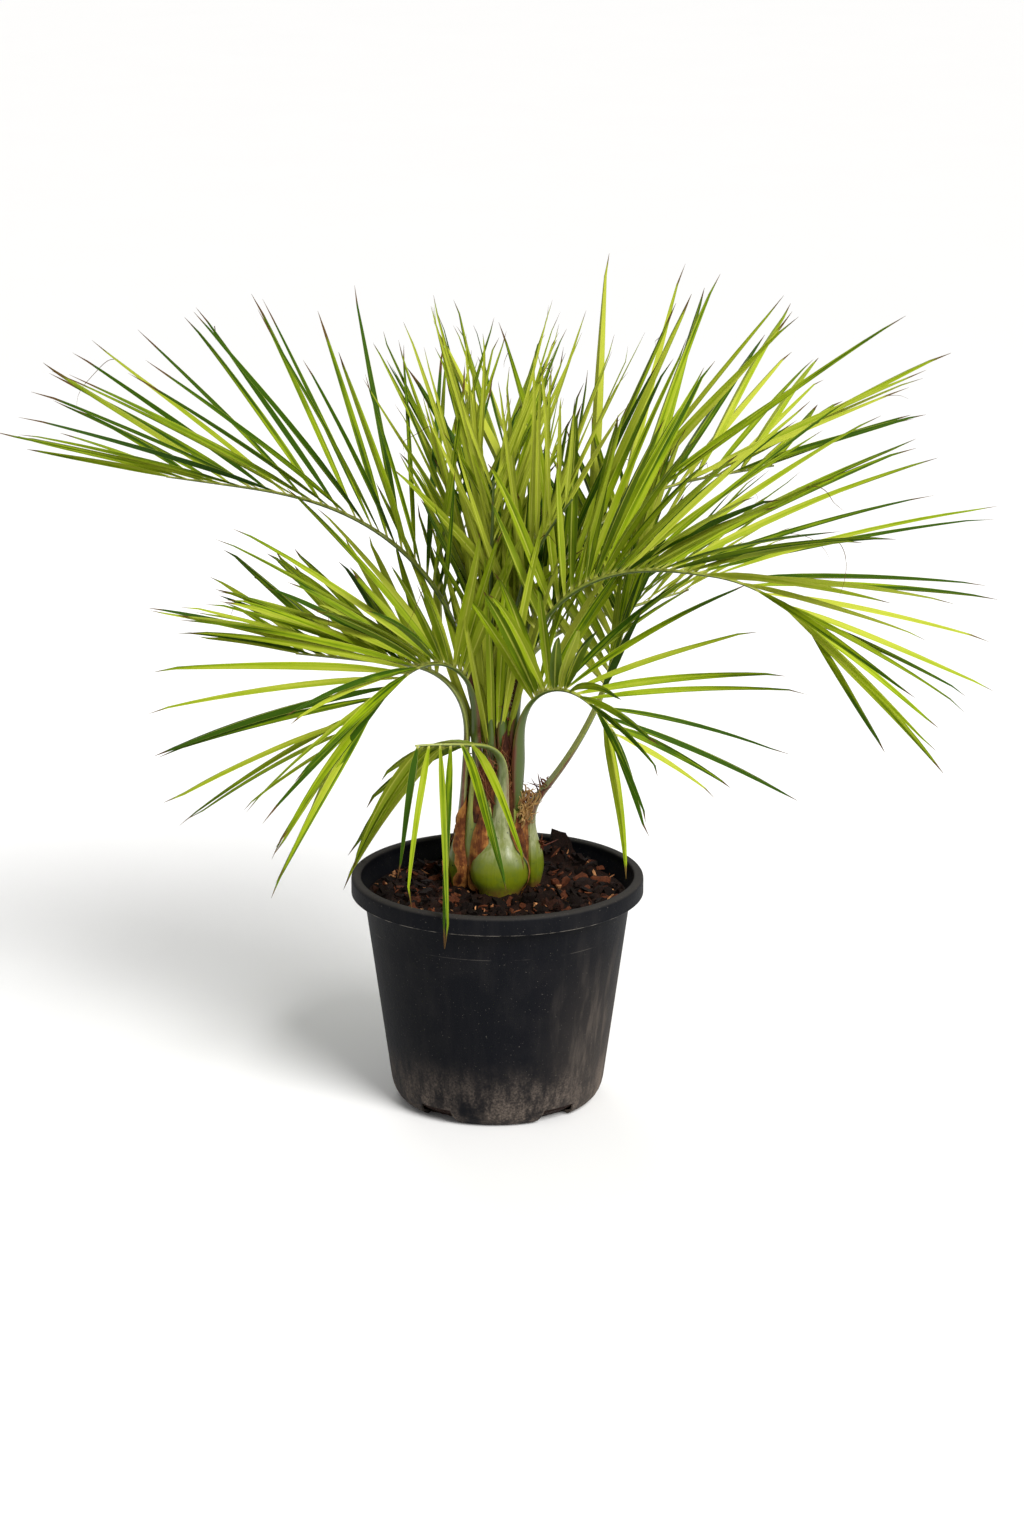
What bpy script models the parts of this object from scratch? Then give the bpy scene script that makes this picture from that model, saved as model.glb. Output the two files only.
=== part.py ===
"""Jelly palm with 14 arching feather leaves, in a black nursery pot of bark soil.

Lengths in the tables are millimetres and angles are degrees; MM turns them into metres.
The pot stands on z = 0 with its axis on the origin, +X to the right and -Y to the front.
"""
import math
import random
from dataclasses import dataclass

import bmesh
import bpy
from mathutils import Matrix, Vector
from mathutils.bvhtree import BVHTree

MM = 0.001
GAP = 0.3            # clear space between pieces that touch
FLAT_ANGLE = math.radians(0.1)

# Pot: a 300 mm nursery pot, turned, with five drain slots in its bottom corner
POT_RIM_RADIUS = 150.0
POT_HEIGHT = 240.0
POT_RIM_BAND = 19.0
POT_RIM_WIDTH = 10.0
POT_RIM_STEP = 8.0
POT_RIM_ROUNDING = 1.6
POT_WALL = 2.5
POT_FLOOR = 3.0
POT_FOOT_RADIUS = 92.0
POT_SIDE = ((101.0, 4.0), (107.0, 12.0), (110.0, 22.0), (112.0, 36.0))
POT_NECK_RADIUS = 137.3
POT_FACETS = 36
SLOT_COUNT = 5
SLOT_FIRST = -54.0
SLOT_WIDTH = 36.0
SLOT_FLARE = 1.25
SLOT_HEIGHT = 12.0
SLOT_REACH = 84.0

# Soil: coarse bark mix, level a little below the rim, heaped up at the right and back
SOIL_LEVEL = 219.0
SOIL_ROUGHNESS = 3.2
SOIL_HEAP = 17.0
SOIL_HEAP_PLACE = (64.0, 96.0)
SOIL_HEAP_SPREAD = 36.0
SOIL_RINGS = 8
SOIL_EDGE_DROP = 2.0
CHIP_COUNT = 11
CHIP_SHAPE = (13.0, 7.8, 5.9)
CHIP_SINK = 0.8
CHIP_REACH = (62.0, 122.0)
CHUNK_SHAPE = (27.0, 18.0, 29.0)

# Stem: the short fibrous stem that the leaf bases stand round, off the pot's axis
AXIS = Vector((-3.0, 32.0, 0.0))
STEM_PROFILE = ((27.0, 206.0), (33.0, 222.0), (36.0, 244.0), (33.0, 272.0), (29.0, 300.0),
                (27.0, 326.0), (24.0, 346.0))
STEM_FACETS = 18
STEM_RIDGES = 7
STEM_RIDGE_HEIGHT = 0.035

# Leaves: each one turns on from the last by the golden angle
FIRST_HEADING = 237.0
GOLDEN_ANGLE = 137.5
BASE = 211.0           # foot of an outer leaf, in the soil
SHOULDER = 303.0       # foot of a leaf on the stem's shoulder
SOCKET = 333.0         # foot of an inner leaf, in the stem's top
BULB_HEIGHT = 36.0
BULB_SHAPE = ((0.0, 0.56), (0.32, 0.76), (0.62, 0.96), (1.0, 0.98), (1.35, 0.78), (1.7, 0.48),
              (2.3, 0.33))
BULB_SLIMNESS = 0.74
BULB_TWIST = 110.0     # length over which a stalk turns from its seat to its reach
STALK_SLIMNESS = 0.8
SLIM_WIDTHS = (16.0, 28.0)
INNER_WIDTH = 10.5
RACHIS_WIDTH = 7.5
TIP_WIDTH = 2.4
STALK_STEP = 27.0
WALK_STEP = 2.0
RACHIS_SINK = 8.0
BULB_SIDES = 8
STALK_SIDES = 6
RACHIS_SIDES = 4
SOCKET_GAP = 1.2 * GAP   # leaves a full gap on the flats of a faceted foot

# Leaflets: keeled blades, widest a third of the way out, in a raised row on each side
BLADE_WIDTH = 11.0
BLADE_KEEL = 1.9
BLADE_SECTIONS = ((0.0, 0.28), (0.3, 1.0), (0.66, 0.66))
BLADE_ROLL = 34.0
BLADE_STRAYS = (6.0, 10.0, 12.0)      # of its angle to the rib, its rise and its roll
BLADE_LENGTHS = (0.85, 1.06)
BLADE_WIDTHS = (0.85, 1.1)
BLADE_SAGS = (0.7, 1.3)
TIP_SHORTENING = 1.8
TIP_NARROWING = 0.75
ROOT_OFFSET = 0.2
SAG_BEND = 26.0      # a blade that sags more than this gets a third section
CLEARANCE = 0.9
POT_CLEARANCE = 5.0
BENDS = ((0, 0), (4, 0), (-4, 0), (0, 4), (0, -4), (7, 3), (-7, 3), (8, -4), (-8, -4), (12, 0),
         (-12, 0), (0, 8), (14, 5), (-14, 5), (18, 0), (-18, 0), (22, 6), (-22, 6))
TRIMS = (1.0, 0.8, 0.6)


@dataclass(frozen=True)
class Leaf:
    """One feather leaf: where its foot stands, how its stalk arches, how its leaflets sit."""

    name: str
    turn: int            # place in the spiral, oldest first
    seat: float          # turn of its foot from its place in the spiral
    stray: float         # turn of its reach from its place in the spiral
    foot: float          # distance of its foot from the stem's axis
    floor: float         # height of its foot
    bulb: float          # width of its swollen base, 0 where the stem hides it
    lean: float          # tilt of the stalk at its foot
    arch: float          # tilt gained over the bend
    bend: tuple          # lengths along the stalk where the bend starts and ends
    nod: float           # further tilt gained from there to the tip
    sweep: float         # turn to one side gained by the tip
    length: float        # stalk from foot to tip
    bare: float          # stalk below the first leaflet
    blade: float         # longest leaflet
    pairs: int
    vee: tuple           # rise of the leaflet rows at the first pair and at the last
    spread: tuple        # angle from the stalk at the first pair and at the last
    droop: float         # sag of the leaflets


LEAVES = (
    Leaf("low_front", 0, 43, -10, 32, BASE, 61, -4, 85, (125, 190),
         8, -32, 254, 184, 192, 6, (-14, -58), (84, 70), 0.7),
    Leaf("thorny", 1, -4, 6, 39, BASE, 38, -3, 48, (60, 112),
         -36, 60, 390, 228, 215, 12, (52, 52), (58, 24), 0.1),
    Leaf("old_left", 2, 34, 8, 36, BASE, 41, -3, 93, (155, 290),
         0, 0, 400, 240, 212, 11, (48, 45), (58, 26), 0.2),
    Leaf("low_right", 3, 36, 36, 27, SHOULDER, 0, 2, 134, (58, 236),
         0, 0, 244, 122, 232, 10, (60, 10), (64, 40), 0.25),
    Leaf("mid_back", 4, -1, -35, 37, BASE, 30, -5, 88, (120, 345),
         0, 0, 455, 245, 240, 13, (55, 55), (58, 24), 0.08),
    Leaf("low_left", 5, 0, 0, 18, SOCKET, 0, 2, 133, (60, 215),
         0, 0, 280, 105, 275, 13, (58, 8), (60, 34), 0.2),
    Leaf("mid_right", 6, 0, 0, 16.8, SOCKET, 0, 4, 90, (50, 370),
         50, 0, 505, 160, 312, 19, (58, 12), (58, 26), 0.14),
    Leaf("back_left", 7, 6, -6, 36, BASE, 30, -5, 52, (150, 480),
         0, 0, 485, 265, 200, 12, (50, 50), (56, 24), 0.06),
    Leaf("front_up", 8, 0, 16, 15.5, SOCKET, 0, 1, 33, (80, 370),
         0, 0, 345, 54, 285, 15, (46, 46), (14, 28), 0.03),
    Leaf("high_right", 9, 0, 0, 14, SOCKET, 0, 5, 84, (20, 460),
         0, 0, 520, 145, 308, 19, (60, 34), (56, 28), 0.06),
    Leaf("high_left", 10, 0, 0, 12.3, SOCKET, 0, 4, 80, (25, 455),
         0, 0, 515, 160, 305, 19, (60, 26), (56, 26), 0.08),
    Leaf("up_right", 11, 0, -8, 10.4, SOCKET, 0, 3, 46, (40, 370),
         0, 0, 360, 72, 255, 15, (52, 52), (17, 26), 0.04),
    Leaf("back", 12, 0, 0, 8.1, SOCKET, 0, 3, 62, (40, 390),
         0, 0, 410, 130, 225, 14, (52, 52), (36, 24), 0.05),
    Leaf("spear", 13, 0, 0, 4.7, SOCKET, 0, 1, 8, (0, 300),
         0, 0, 325, 90, 205, 6, (70, 70), (10, 5), 0.0),
)


def clear_scene():
    """Remove the objects of the open scene."""
    for item in list(bpy.data.objects):
        bpy.data.objects.remove(item, do_unlink=True)


def make_collection(name):
    """Return a new collection linked to the scene."""
    collection = bpy.data.collections.new(name)
    bpy.context.scene.collection.children.link(collection)
    return collection


def make_material(name, colour, roughness, metallic=0.0):
    """Return a Principled material."""
    material = bpy.data.materials.new(name)
    material.use_nodes = True
    shader = material.node_tree.nodes["Principled BSDF"]
    shader.inputs["Base Color"].default_value = (*colour, 1.0)
    shader.inputs["Roughness"].default_value = roughness
    shader.inputs["Metallic"].default_value = metallic
    material.diffuse_color = (*colour, 1.0)
    return material


def make_object(name, bm, collection, material=None):
    """Put a bmesh in a new object of the collection."""
    mesh = bpy.data.meshes.new(name)
    bm.to_mesh(mesh)
    bm.free()
    item = bpy.data.objects.new(name, mesh)
    collection.objects.link(item)
    if material:
        mesh.materials.append(material)
    return item


def make_guide(item):
    """Mark an object as a cutter or a joined scrap, which isn't part of the palm."""
    item.hide_render = True
    item.display_type = "WIRE"


def bake(item):
    """Apply an object's modifiers to its mesh."""
    graph = bpy.context.evaluated_depsgraph_get()
    mesh = bpy.data.meshes.new_from_object(item.evaluated_get(graph))
    item.modifiers.clear()
    item.data = mesh


def merge_flats(item):
    """Merge the flat slivers that a join or a cut leaves, and split the faces in triangles."""
    bm = bmesh.new()
    bm.from_mesh(item.data)
    bmesh.ops.dissolve_limit(bm, angle_limit=FLAT_ANGLE, verts=bm.verts, edges=bm.edges)
    bmesh.ops.triangulate(bm, faces=bm.faces)
    bm.to_mesh(item.data)
    bm.free()


def combine(item, pieces, operation, solver="EXACT"):
    """Join the pieces to an object or cut them from it, and remove them."""
    group = pieces[0].users_collection[0]
    modifier = item.modifiers.new(operation.title(), "BOOLEAN")
    modifier.operation = operation
    modifier.operand_type = "COLLECTION"
    modifier.collection = group
    modifier.solver = solver
    bake(item)
    merge_flats(item)
    for piece in pieces:
        bpy.data.objects.remove(piece, do_unlink=True)
    bpy.data.collections.remove(group)


def turn(angle):
    """Return the level direction at an angle from +X."""
    return Vector((math.cos(math.radians(angle)), math.sin(math.radians(angle)), 0.0))


def ease(value):
    """Return a smooth step from 0 to 1."""
    value = min(max(value, 0.0), 1.0)
    return value * value * (3.0 - 2.0 * value)


def mix(low, high, share):
    """Return the value a share of the way from low to high."""
    return low + (high - low) * share


def read_profile(points, place):
    """Return the value at a place on a list of (place, value) points."""
    for (start, low), (end, high) in zip(points, points[1:]):
        if place <= end:
            return mix(low, high, max(0.0, (place - start) / (end - start)))
    return points[-1][1]


def loft(bm, rings, tip=None):
    """Skin a closed triangle loft over rings of points, ended by a cap or a pointed tip."""
    loops = [[bm.verts.new(point * MM) for point in ring] for ring in rings]
    count = len(loops[0])
    for lower, upper in zip(loops, loops[1:]):
        for i in range(count):
            j = (i + 1) % count
            bm.faces.new((lower[i], lower[j], upper[j]))
            bm.faces.new((lower[i], upper[j], upper[i]))
    bm.faces.new(loops[0][::-1])
    if tip is None:
        bm.faces.new(loops[-1])
    else:
        point = bm.verts.new(tip * MM)
        for i in range(count):
            bm.faces.new((loops[-1][i], loops[-1][(i + 1) % count], point))
    bmesh.ops.triangulate(bm, faces=[face for face in bm.faces if len(face.verts) > 3])
    bmesh.ops.recalc_face_normals(bm, faces=bm.faces)


def turned(name, profile, facets, collection, material=None):
    """Return a closed turned solid from a profile of (radius, height) points."""
    bm = bmesh.new()
    verts = [bm.verts.new((radius * MM, 0.0, height * MM)) for radius, height in profile]
    for first, second in zip(verts, verts[1:] + verts[:1]):
        bm.edges.new((first, second))
    item = make_object(name, bm, collection, material)
    screw = item.modifiers.new("Turn", "SCREW")
    screw.steps = facets
    screw.render_steps = facets
    screw.use_merge_vertices = True
    screw.merge_threshold = 0.00005
    screw.use_normal_calculate = True
    bake(item)
    fresh = bmesh.new()
    fresh.from_mesh(item.data)
    bmesh.ops.remove_doubles(fresh, verts=fresh.verts, dist=0.00005)
    bmesh.ops.recalc_face_normals(fresh, faces=fresh.faces)
    fresh.to_mesh(item.data)
    fresh.free()
    return item


def shade(item, angle=35.0):
    """Shade an object smooth, with its creases kept."""
    item.data.shade_smooth()
    item.data.set_sharp_from_angle(angle=math.radians(angle))


# Pot and soil


def inner_wall():
    """Return the inside of the pot as (radius, height) points, from the floor up to the rim's seam."""
    wall = [(radius - POT_WALL, z) for radius, z in POT_SIDE[1:]]
    seam = (POT_NECK_RADIUS - POT_WALL, POT_HEIGHT - POT_RIM_BAND)
    return [(POT_FOOT_RADIUS - 1.0, POT_FLOOR), *wall, seam]


def build_pot(collection, material):
    """Turn the pot's wall with its rolled rim and cut the drain slots."""
    top = POT_HEIGHT
    seam = POT_HEIGHT - POT_RIM_BAND
    rim = POT_RIM_RADIUS
    mouth = POT_RIM_RADIUS - POT_RIM_WIDTH
    under = top - 1.4 * POT_WALL
    edge = POT_RIM_ROUNDING
    profile = [(0.01, 0.0), (POT_FOOT_RADIUS, 0.0), *POT_SIDE, (POT_NECK_RADIUS, seam),
               (mouth + POT_WALL, seam + POT_RIM_STEP), (mouth + POT_WALL, under),
               (rim - POT_WALL, under), (rim - POT_WALL, seam), (rim - edge / 2.0, seam),
               (rim, seam + edge / 2.0), (rim, top - edge), (rim - edge, top), (mouth, top),
               (mouth, seam + POT_RIM_STEP), *reversed(inner_wall()), (0.01, POT_FLOOR)]
    pot = turned("pot", profile, POT_FACETS, collection, material)
    cutters = make_collection("slot cutters")
    slots = [cut_slot(SLOT_FIRST + 360.0 / SLOT_COUNT * i, cutters) for i in range(SLOT_COUNT)]
    combine(pot, slots, "DIFFERENCE")
    shade(pot)
    return pot


def cut_slot(angle, collection):
    """Return the cutter of one drain slot, narrower at its top."""
    bm = bmesh.new()
    bmesh.ops.create_cube(bm, size=1.0)
    depth = POT_NECK_RADIUS - SLOT_REACH
    for vert in bm.verts:
        high = vert.co.z > 0.0
        vert.co.x = SLOT_REACH + depth * (vert.co.x + 0.5)
        vert.co.y *= SLOT_WIDTH if high else SLOT_WIDTH * SLOT_FLARE
        vert.co.z = SLOT_HEIGHT if high else -POT_FLOOR
    bmesh.ops.scale(bm, verts=bm.verts, vec=(MM, MM, MM))
    bmesh.ops.rotate(bm, verts=bm.verts, matrix=Matrix.Rotation(math.radians(angle), 3, "Z"))
    cutter = make_object("slot cutter", bm, collection)
    make_guide(cutter)
    return cutter


def soil_height(x, y):
    """Return the level of the bark mix, with its lumps and its heap."""
    lumps = (math.sin(x * 0.13 + 1.3) * math.cos(y * 0.11) + math.sin(x * 0.07 - y * 0.16)
             + 0.7 * math.sin(x * 0.19 + y * 0.17 + 0.6)) / 2.0
    away = math.dist((x, y), SOIL_HEAP_PLACE) / SOIL_HEAP_SPREAD
    return SOIL_LEVEL + SOIL_ROUGHNESS * lumps + SOIL_HEAP * math.exp(-away * away)


def build_soil(collection, material):
    """Fill the pot with bark mix, its top in rings raised by formula, with larger chips."""
    wall = inner_wall()
    sides = [(radius - 2.0 * GAP, z + 2.0 * GAP) for radius, z in wall[1:-1]]
    sides.insert(0, (wall[0][0] - 2.0 * GAP, wall[0][1] + GAP))
    rings = [[turn(360.0 * i / POT_FACETS) * radius + Vector((0, 0, z)) for i in range(POT_FACETS)]
             for radius, z in sides]
    rim = SOIL_LEVEL - SOIL_EDGE_DROP
    edge = read_profile([(z, radius) for radius, z in wall], rim) - 2.0 * GAP
    for ring in range(SOIL_RINGS):
        radius = edge * (1.0 - ring / SOIL_RINGS)
        points = [turn(360.0 * i / POT_FACETS) * radius for i in range(POT_FACETS)]
        level = [rim] * POT_FACETS
        if ring:
            level = [soil_height(point.x, point.y) for point in points]
        rings.append([point + Vector((0, 0, z)) for point, z in zip(points, level)])
    bm = bmesh.new()
    loft(bm, rings, tip=Vector((0, 0, soil_height(0, 0))))
    soil = make_object("soil", bm, collection, material)
    chips = make_collection("chips")
    combine(soil, [build_chip(i, chips) for i in range(CHIP_COUNT)], "UNION")
    return soil


def build_chip(index, collection):
    """Return one bark chip, a tilted block half sunk into the mix."""
    rng = random.Random(40 + index)
    reach = CHIP_REACH[0] + (CHIP_REACH[1] - CHIP_REACH[0]) * (index % 5) / 4.0
    spot = turn(GOLDEN_ANGLE * index) * reach
    size = [rng.uniform(0.7, 1.5) * side for side in CHIP_SHAPE]
    if index == 0:
        spot = Vector((*SOIL_HEAP_PLACE, 0.0))
        size = CHUNK_SHAPE
    bm = bmesh.new()
    bmesh.ops.create_cube(bm, size=1.0)
    bmesh.ops.scale(bm, verts=bm.verts, vec=Vector(size) * MM)
    tilt = Matrix.Rotation(rng.uniform(-0.4, 0.4), 3, "X") @ Matrix.Rotation(rng.uniform(0, 3), 3, "Z")
    bmesh.ops.rotate(bm, verts=bm.verts, matrix=tilt)
    lift = soil_height(spot.x, spot.y) - CHIP_SINK
    bmesh.ops.translate(bm, verts=bm.verts, vec=Vector((spot.x, spot.y, lift)) * MM)
    return make_object("chip", bm, collection)


# Stalks


class Stalk:
    """The curve of one leaf's stalk and its size along the way."""

    def __init__(self, leaf):
        """Walk the stalk from its foot, leaning and arching as the leaf's values say."""
        self.leaf = leaf
        spiral = FIRST_HEADING + GOLDEN_ANGLE * leaf.turn
        point = AXIS + turn(spiral + leaf.seat) * leaf.foot + Vector((0, 0, leaf.floor))
        self.heading = spiral + leaf.stray
        self.points = [point]
        for i in range(int(leaf.length / WALK_STEP)):
            point = point + self.aim((i + 0.5) * WALK_STEP) * WALK_STEP
            self.points.append(point)
        start = leaf.bare - RACHIS_SINK
        count = round((leaf.length - start) / STALK_STEP)
        self.joints = [mix(start, leaf.length, i / count) for i in range(count + 1)]

    def angles(self, place):
        """Return the tilt and the heading at a length along the stalk."""
        leaf = self.leaf
        start, end = leaf.bend
        tilt = leaf.lean + leaf.arch * ease((place - start) / (end - start))
        tilt += leaf.nod * max(0.0, place - end) / max(1.0, leaf.length - end)
        twist = (leaf.seat - leaf.stray) * (1.0 - ease(place / BULB_TWIST))
        return math.radians(tilt), self.heading + twist + leaf.sweep * (place / leaf.length) ** 2

    def aim(self, place):
        """Return the direction of the stalk."""
        tilt, heading = self.angles(place)
        return turn(heading) * math.sin(tilt) + Vector((0, 0, math.cos(tilt)))

    def upper(self, place):
        """Return the direction that the stalk's upper side faces."""
        tilt, heading = self.angles(place)
        return turn(heading) * -math.cos(tilt) + Vector((0, 0, math.sin(tilt)))

    def at(self, place):
        """Return the point at a length along the stalk."""
        spot = min(max(place / WALK_STEP, 0.0), len(self.points) - 1.001)
        return self.points[int(spot)].lerp(self.points[int(spot) + 1], spot % 1.0)

    def chord(self, place):
        """Return the point on the straight run between two joints of the lofted rachis."""
        for start, end in zip(self.joints, self.joints[1:]):
            if place <= end:
                break
        return self.at(start).lerp(self.at(end), (place - start) / (end - start))

    def width(self, place):
        """Return the stalk's width at a length along it."""
        leaf = self.leaf
        shape = [(part * BULB_HEIGHT, leaf.bulb * share) for part, share in BULB_SHAPE]
        if not leaf.bulb:
            shape = [(0.0, INNER_WIDTH)]
        return read_profile([*shape, (leaf.bare, RACHIS_WIDTH), (leaf.length, TIP_WIDTH)], place)

    def ring(self, place, sides, grow=0.0):
        """Return a ring of points round the stalk, as an oval with its width across."""
        side = self.aim(place).cross(self.upper(place))
        width = self.width(place)
        bulging = ease((width - SLIM_WIDTHS[0]) / (SLIM_WIDTHS[1] - SLIM_WIDTHS[0]))
        slim = mix(STALK_SLIMNESS, BULB_SLIMNESS, bulging)
        half = width / 2.0 + grow
        deep = width * slim / 2.0 + grow
        turns = [math.tau * (i + 0.5) / sides for i in range(sides)]
        return [self.at(place) + side * (half * math.cos(a)) + self.upper(place) * (deep * math.sin(a))
                for a in turns]

    def loft_petiole(self, bm, grow=0.0):
        """Skin the leaf base and the bare stalk, or their grown copy, into a bmesh."""
        leaf = self.leaf
        places = [part * BULB_HEIGHT for part, share in BULB_SHAPE] if leaf.bulb else [0.0]
        count = max(2, round((leaf.bare - places[-1]) / STALK_STEP))
        places += [mix(places[-1], leaf.bare, (i + 1) / count) for i in range(count)]
        sides = BULB_SIDES if leaf.bulb else STALK_SIDES
        rings = [self.ring(place, sides, grow) for place in places]
        if grow:
            rings[0] = [point - self.aim(0.0) * grow for point in rings[0]]
        loft(bm, rings)

    def loft_rachis(self, bm, grow=0.0):
        """Skin the slim four-sided stretch that bears the leaflets, or its grown copy."""
        loft(bm, [self.ring(place, RACHIS_SIDES, grow) for place in self.joints])


# Leaflets


@dataclass
class Blade:
    """One leaflet: a keeled blade on a sagging curve."""

    root: Vector
    aim: Vector
    edge: Vector
    length: float
    width: float
    sag: float

    def at(self, share):
        """Return the point a share of the way along the blade."""
        fall = Vector((0, 0, -1)) * (self.sag * share * share / 2.0)
        return self.root + (self.aim * share + fall) * self.length

    def ring(self, share, spread, grow):
        """Return the three corners of the blade's section."""
        back = self.aim.cross(self.edge).normalized()
        half = self.width * spread / 2.0 + grow
        keel = BLADE_KEEL * mix(spread, 1.0, 0.4) + grow
        middle = self.at(share)
        return [middle - self.edge * half - back * grow, middle + self.edge * half - back * grow,
                middle + back * keel]

    def loft(self, bm, grow=0.0):
        """Skin the blade, or its grown copy, into a bmesh."""
        sections = BLADE_SECTIONS if self.sag * self.length > SAG_BEND else BLADE_SECTIONS[:2]
        loft(bm, [self.ring(share, spread, grow) for share, spread in sections], tip=self.at(1.0))

    def clears_pot(self):
        """Tell whether the blade keeps off the soil, the rim and the pot's wall."""
        for i in range(2, 11):
            point = self.at(i / 10.0)
            reach = math.hypot(point.x, point.y)
            above = point.z > POT_HEIGHT + POT_CLEARANCE
            outside = reach > POT_RIM_RADIUS + POT_CLEARANCE
            inside = reach < POT_NECK_RADIUS - 2.0 * POT_CLEARANCE
            if not (above or outside or inside and point.z > SOIL_LEVEL + 2.0 * POT_CLEARANCE):
                return False
        return True


def place_blade(stalk, index, side, bend, trim):
    """Return one leaflet of a stalk, turned aside by a bend and cut short by a trim."""
    leaf = stalk.leaf
    angle_stray, rise_stray, roll_stray = BLADE_STRAYS
    rng = random.Random(leaf.turn * 1000 + index * 2 + (side > 0))
    share = (index + (0.25 if side > 0 else 0.75)) / leaf.pairs
    place = mix(leaf.bare, leaf.length, share)
    aim, upper = stalk.aim(place), stalk.upper(place)
    across = aim.cross(upper) * side
    spread = mix(*leaf.spread, share ** 0.8) + rng.uniform(-1, 1) * angle_stray + bend[1]
    spread = math.radians(spread)
    rise = math.radians(mix(*leaf.vee, share) + rng.uniform(-1, 1) * rise_stray + bend[0])
    out = across * math.cos(rise) + upper * math.sin(rise)
    direction = aim * math.cos(spread) + out * math.sin(spread)
    length = leaf.blade * (0.45 + 0.55 * math.sin(math.pi * (0.18 + 0.66 * share)))
    length *= rng.uniform(*BLADE_LENGTHS) * (1.0 - TIP_SHORTENING * max(0.0, share - 0.8)) * trim
    flat = (aim - direction * aim.dot(direction)).normalized()
    roll = math.radians(BLADE_ROLL + rng.uniform(-1, 1) * roll_stray) * side
    edge = flat * math.cos(roll) + direction.cross(flat) * math.sin(roll)
    width = BLADE_WIDTH * rng.uniform(*BLADE_WIDTHS) * mix(1.0, TIP_NARROWING, share)
    root = stalk.chord(place) + out * stalk.width(place) * ROOT_OFFSET
    return Blade(root, direction, edge * side, length, width, leaf.droop * rng.uniform(*BLADE_SAGS))


def plan_blades(stalk, others):
    """Bend each leaflet of a stalk clear of everything already in place."""
    blades = []
    for index in range(stalk.leaf.pairs):
        for side in (-1, 1):
            trials = (place_blade(stalk, index, side, bend, trim) for trim in TRIMS for bend in BENDS)
            blade = next((trial for trial in trials if is_clear(trial, others)), None)
            if blade:
                blades.append(blade)
    return blades


def is_clear(blade, others):
    """Tell whether a grown copy of a blade crosses nothing."""
    if not blade.clears_pot():
        return False
    bm = bmesh.new()
    blade.loft(bm, CLEARANCE)
    crossed = BVHTree.FromBMesh(bm).overlap(others)
    bm.free()
    return not crossed


def build_leaves(collection, material):
    """Build every leaf, each one's leaflets bent clear of the leaves before it."""
    stalks = [Stalk(leaf) for leaf in LEAVES]
    placed = []
    for stalk in stalks:
        crowd = bmesh.new()
        for other in stalks:
            if other is not stalk:
                other.loft_petiole(crowd, CLEARANCE)
                other.loft_rachis(crowd, CLEARANCE)
        for blade in placed:
            blade.loft(crowd)
        blades = plan_blades(stalk, BVHTree.FromBMesh(crowd))
        crowd.free()
        placed += blades
        build_leaf(stalk, blades, collection, material)
    return stalks


def build_leaf(stalk, blades, collection, material):
    """Join a stalk and its leaflets in one solid."""
    bm = bmesh.new()
    stalk.loft_petiole(bm)
    item = make_object("leaf_" + stalk.leaf.name, bm, collection, material)
    group = make_collection("leaflets")
    bm = bmesh.new()
    stalk.loft_rachis(bm)
    pieces = [make_object("rachis", bm, group)]
    for blade in blades:
        bm = bmesh.new()
        blade.loft(bm)
        pieces.append(make_object("leaflet", bm, group))
    combine(item, pieces, "UNION")
    shade(item)


def build_stem(stalks, collection, material):
    """Build the fibrous stem with a socket for every stalk that stands round or in it."""
    bm = bmesh.new()
    rings = []
    for radius, z in STEM_PROFILE:
        ring = []
        for i in range(STEM_FACETS):
            wave = 1.0 + STEM_RIDGE_HEIGHT * math.sin(math.tau * STEM_RIDGES * i / STEM_FACETS + z)
            ring.append(AXIS + turn(360.0 * i / STEM_FACETS) * radius * wave + Vector((0, 0, z)))
        rings.append(ring)
    loft(bm, rings)
    stem = make_object("stem", bm, collection, material)
    combine(stem, cut_sockets(stalks), "DIFFERENCE")
    return stem


def cut_sockets(stalks):
    """Return cutters a gap larger than the feet of the stalks."""
    cutters = make_collection("socket cutters")
    pieces = []
    for stalk in stalks:
        bm = bmesh.new()
        stalk.loft_petiole(bm, SOCKET_GAP)
        piece = make_object("socket cutter", bm, cutters)
        make_guide(piece)
        pieces.append(piece)
    return pieces


def cut_soil(soil, stalks):
    """Cut plain holes in the soil for the stem and the leaf bases."""
    cutters = cut_sockets([stalk for stalk in stalks if stalk.leaf.bulb])
    bm = bmesh.new()
    rings = []
    for radius, z in STEM_PROFILE[:4]:
        grown = radius * (1.0 + STEM_RIDGE_HEIGHT) + GAP
        foot = z - GAP if z == STEM_PROFILE[0][1] else z
        rings.append([AXIS + turn(360.0 * i / STEM_FACETS) * grown + Vector((0, 0, foot))
                      for i in range(STEM_FACETS)])
    loft(bm, rings)
    hole = make_object("stem hole cutter", bm, cutters[0].users_collection[0])
    make_guide(hole)
    combine(soil, [*cutters, hole], "DIFFERENCE")


def main():
    """Build the potted palm."""
    clear_scene()
    palm = make_collection("potted jelly palm")
    plastic = make_material("black pot plastic", (0.022, 0.024, 0.028), 0.55)
    bark = make_material("bark mix", (0.085, 0.040, 0.025), 0.9)
    fibre = make_material("stem fibre", (0.20, 0.10, 0.045), 0.85)
    green = make_material("leaf", (0.20, 0.33, 0.05), 0.45)
    build_pot(palm, plastic)
    soil = build_soil(palm, bark)
    stalks = build_leaves(palm, green)
    build_stem(stalks, palm, fibre)
    cut_soil(soil, stalks)


main()
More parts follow.
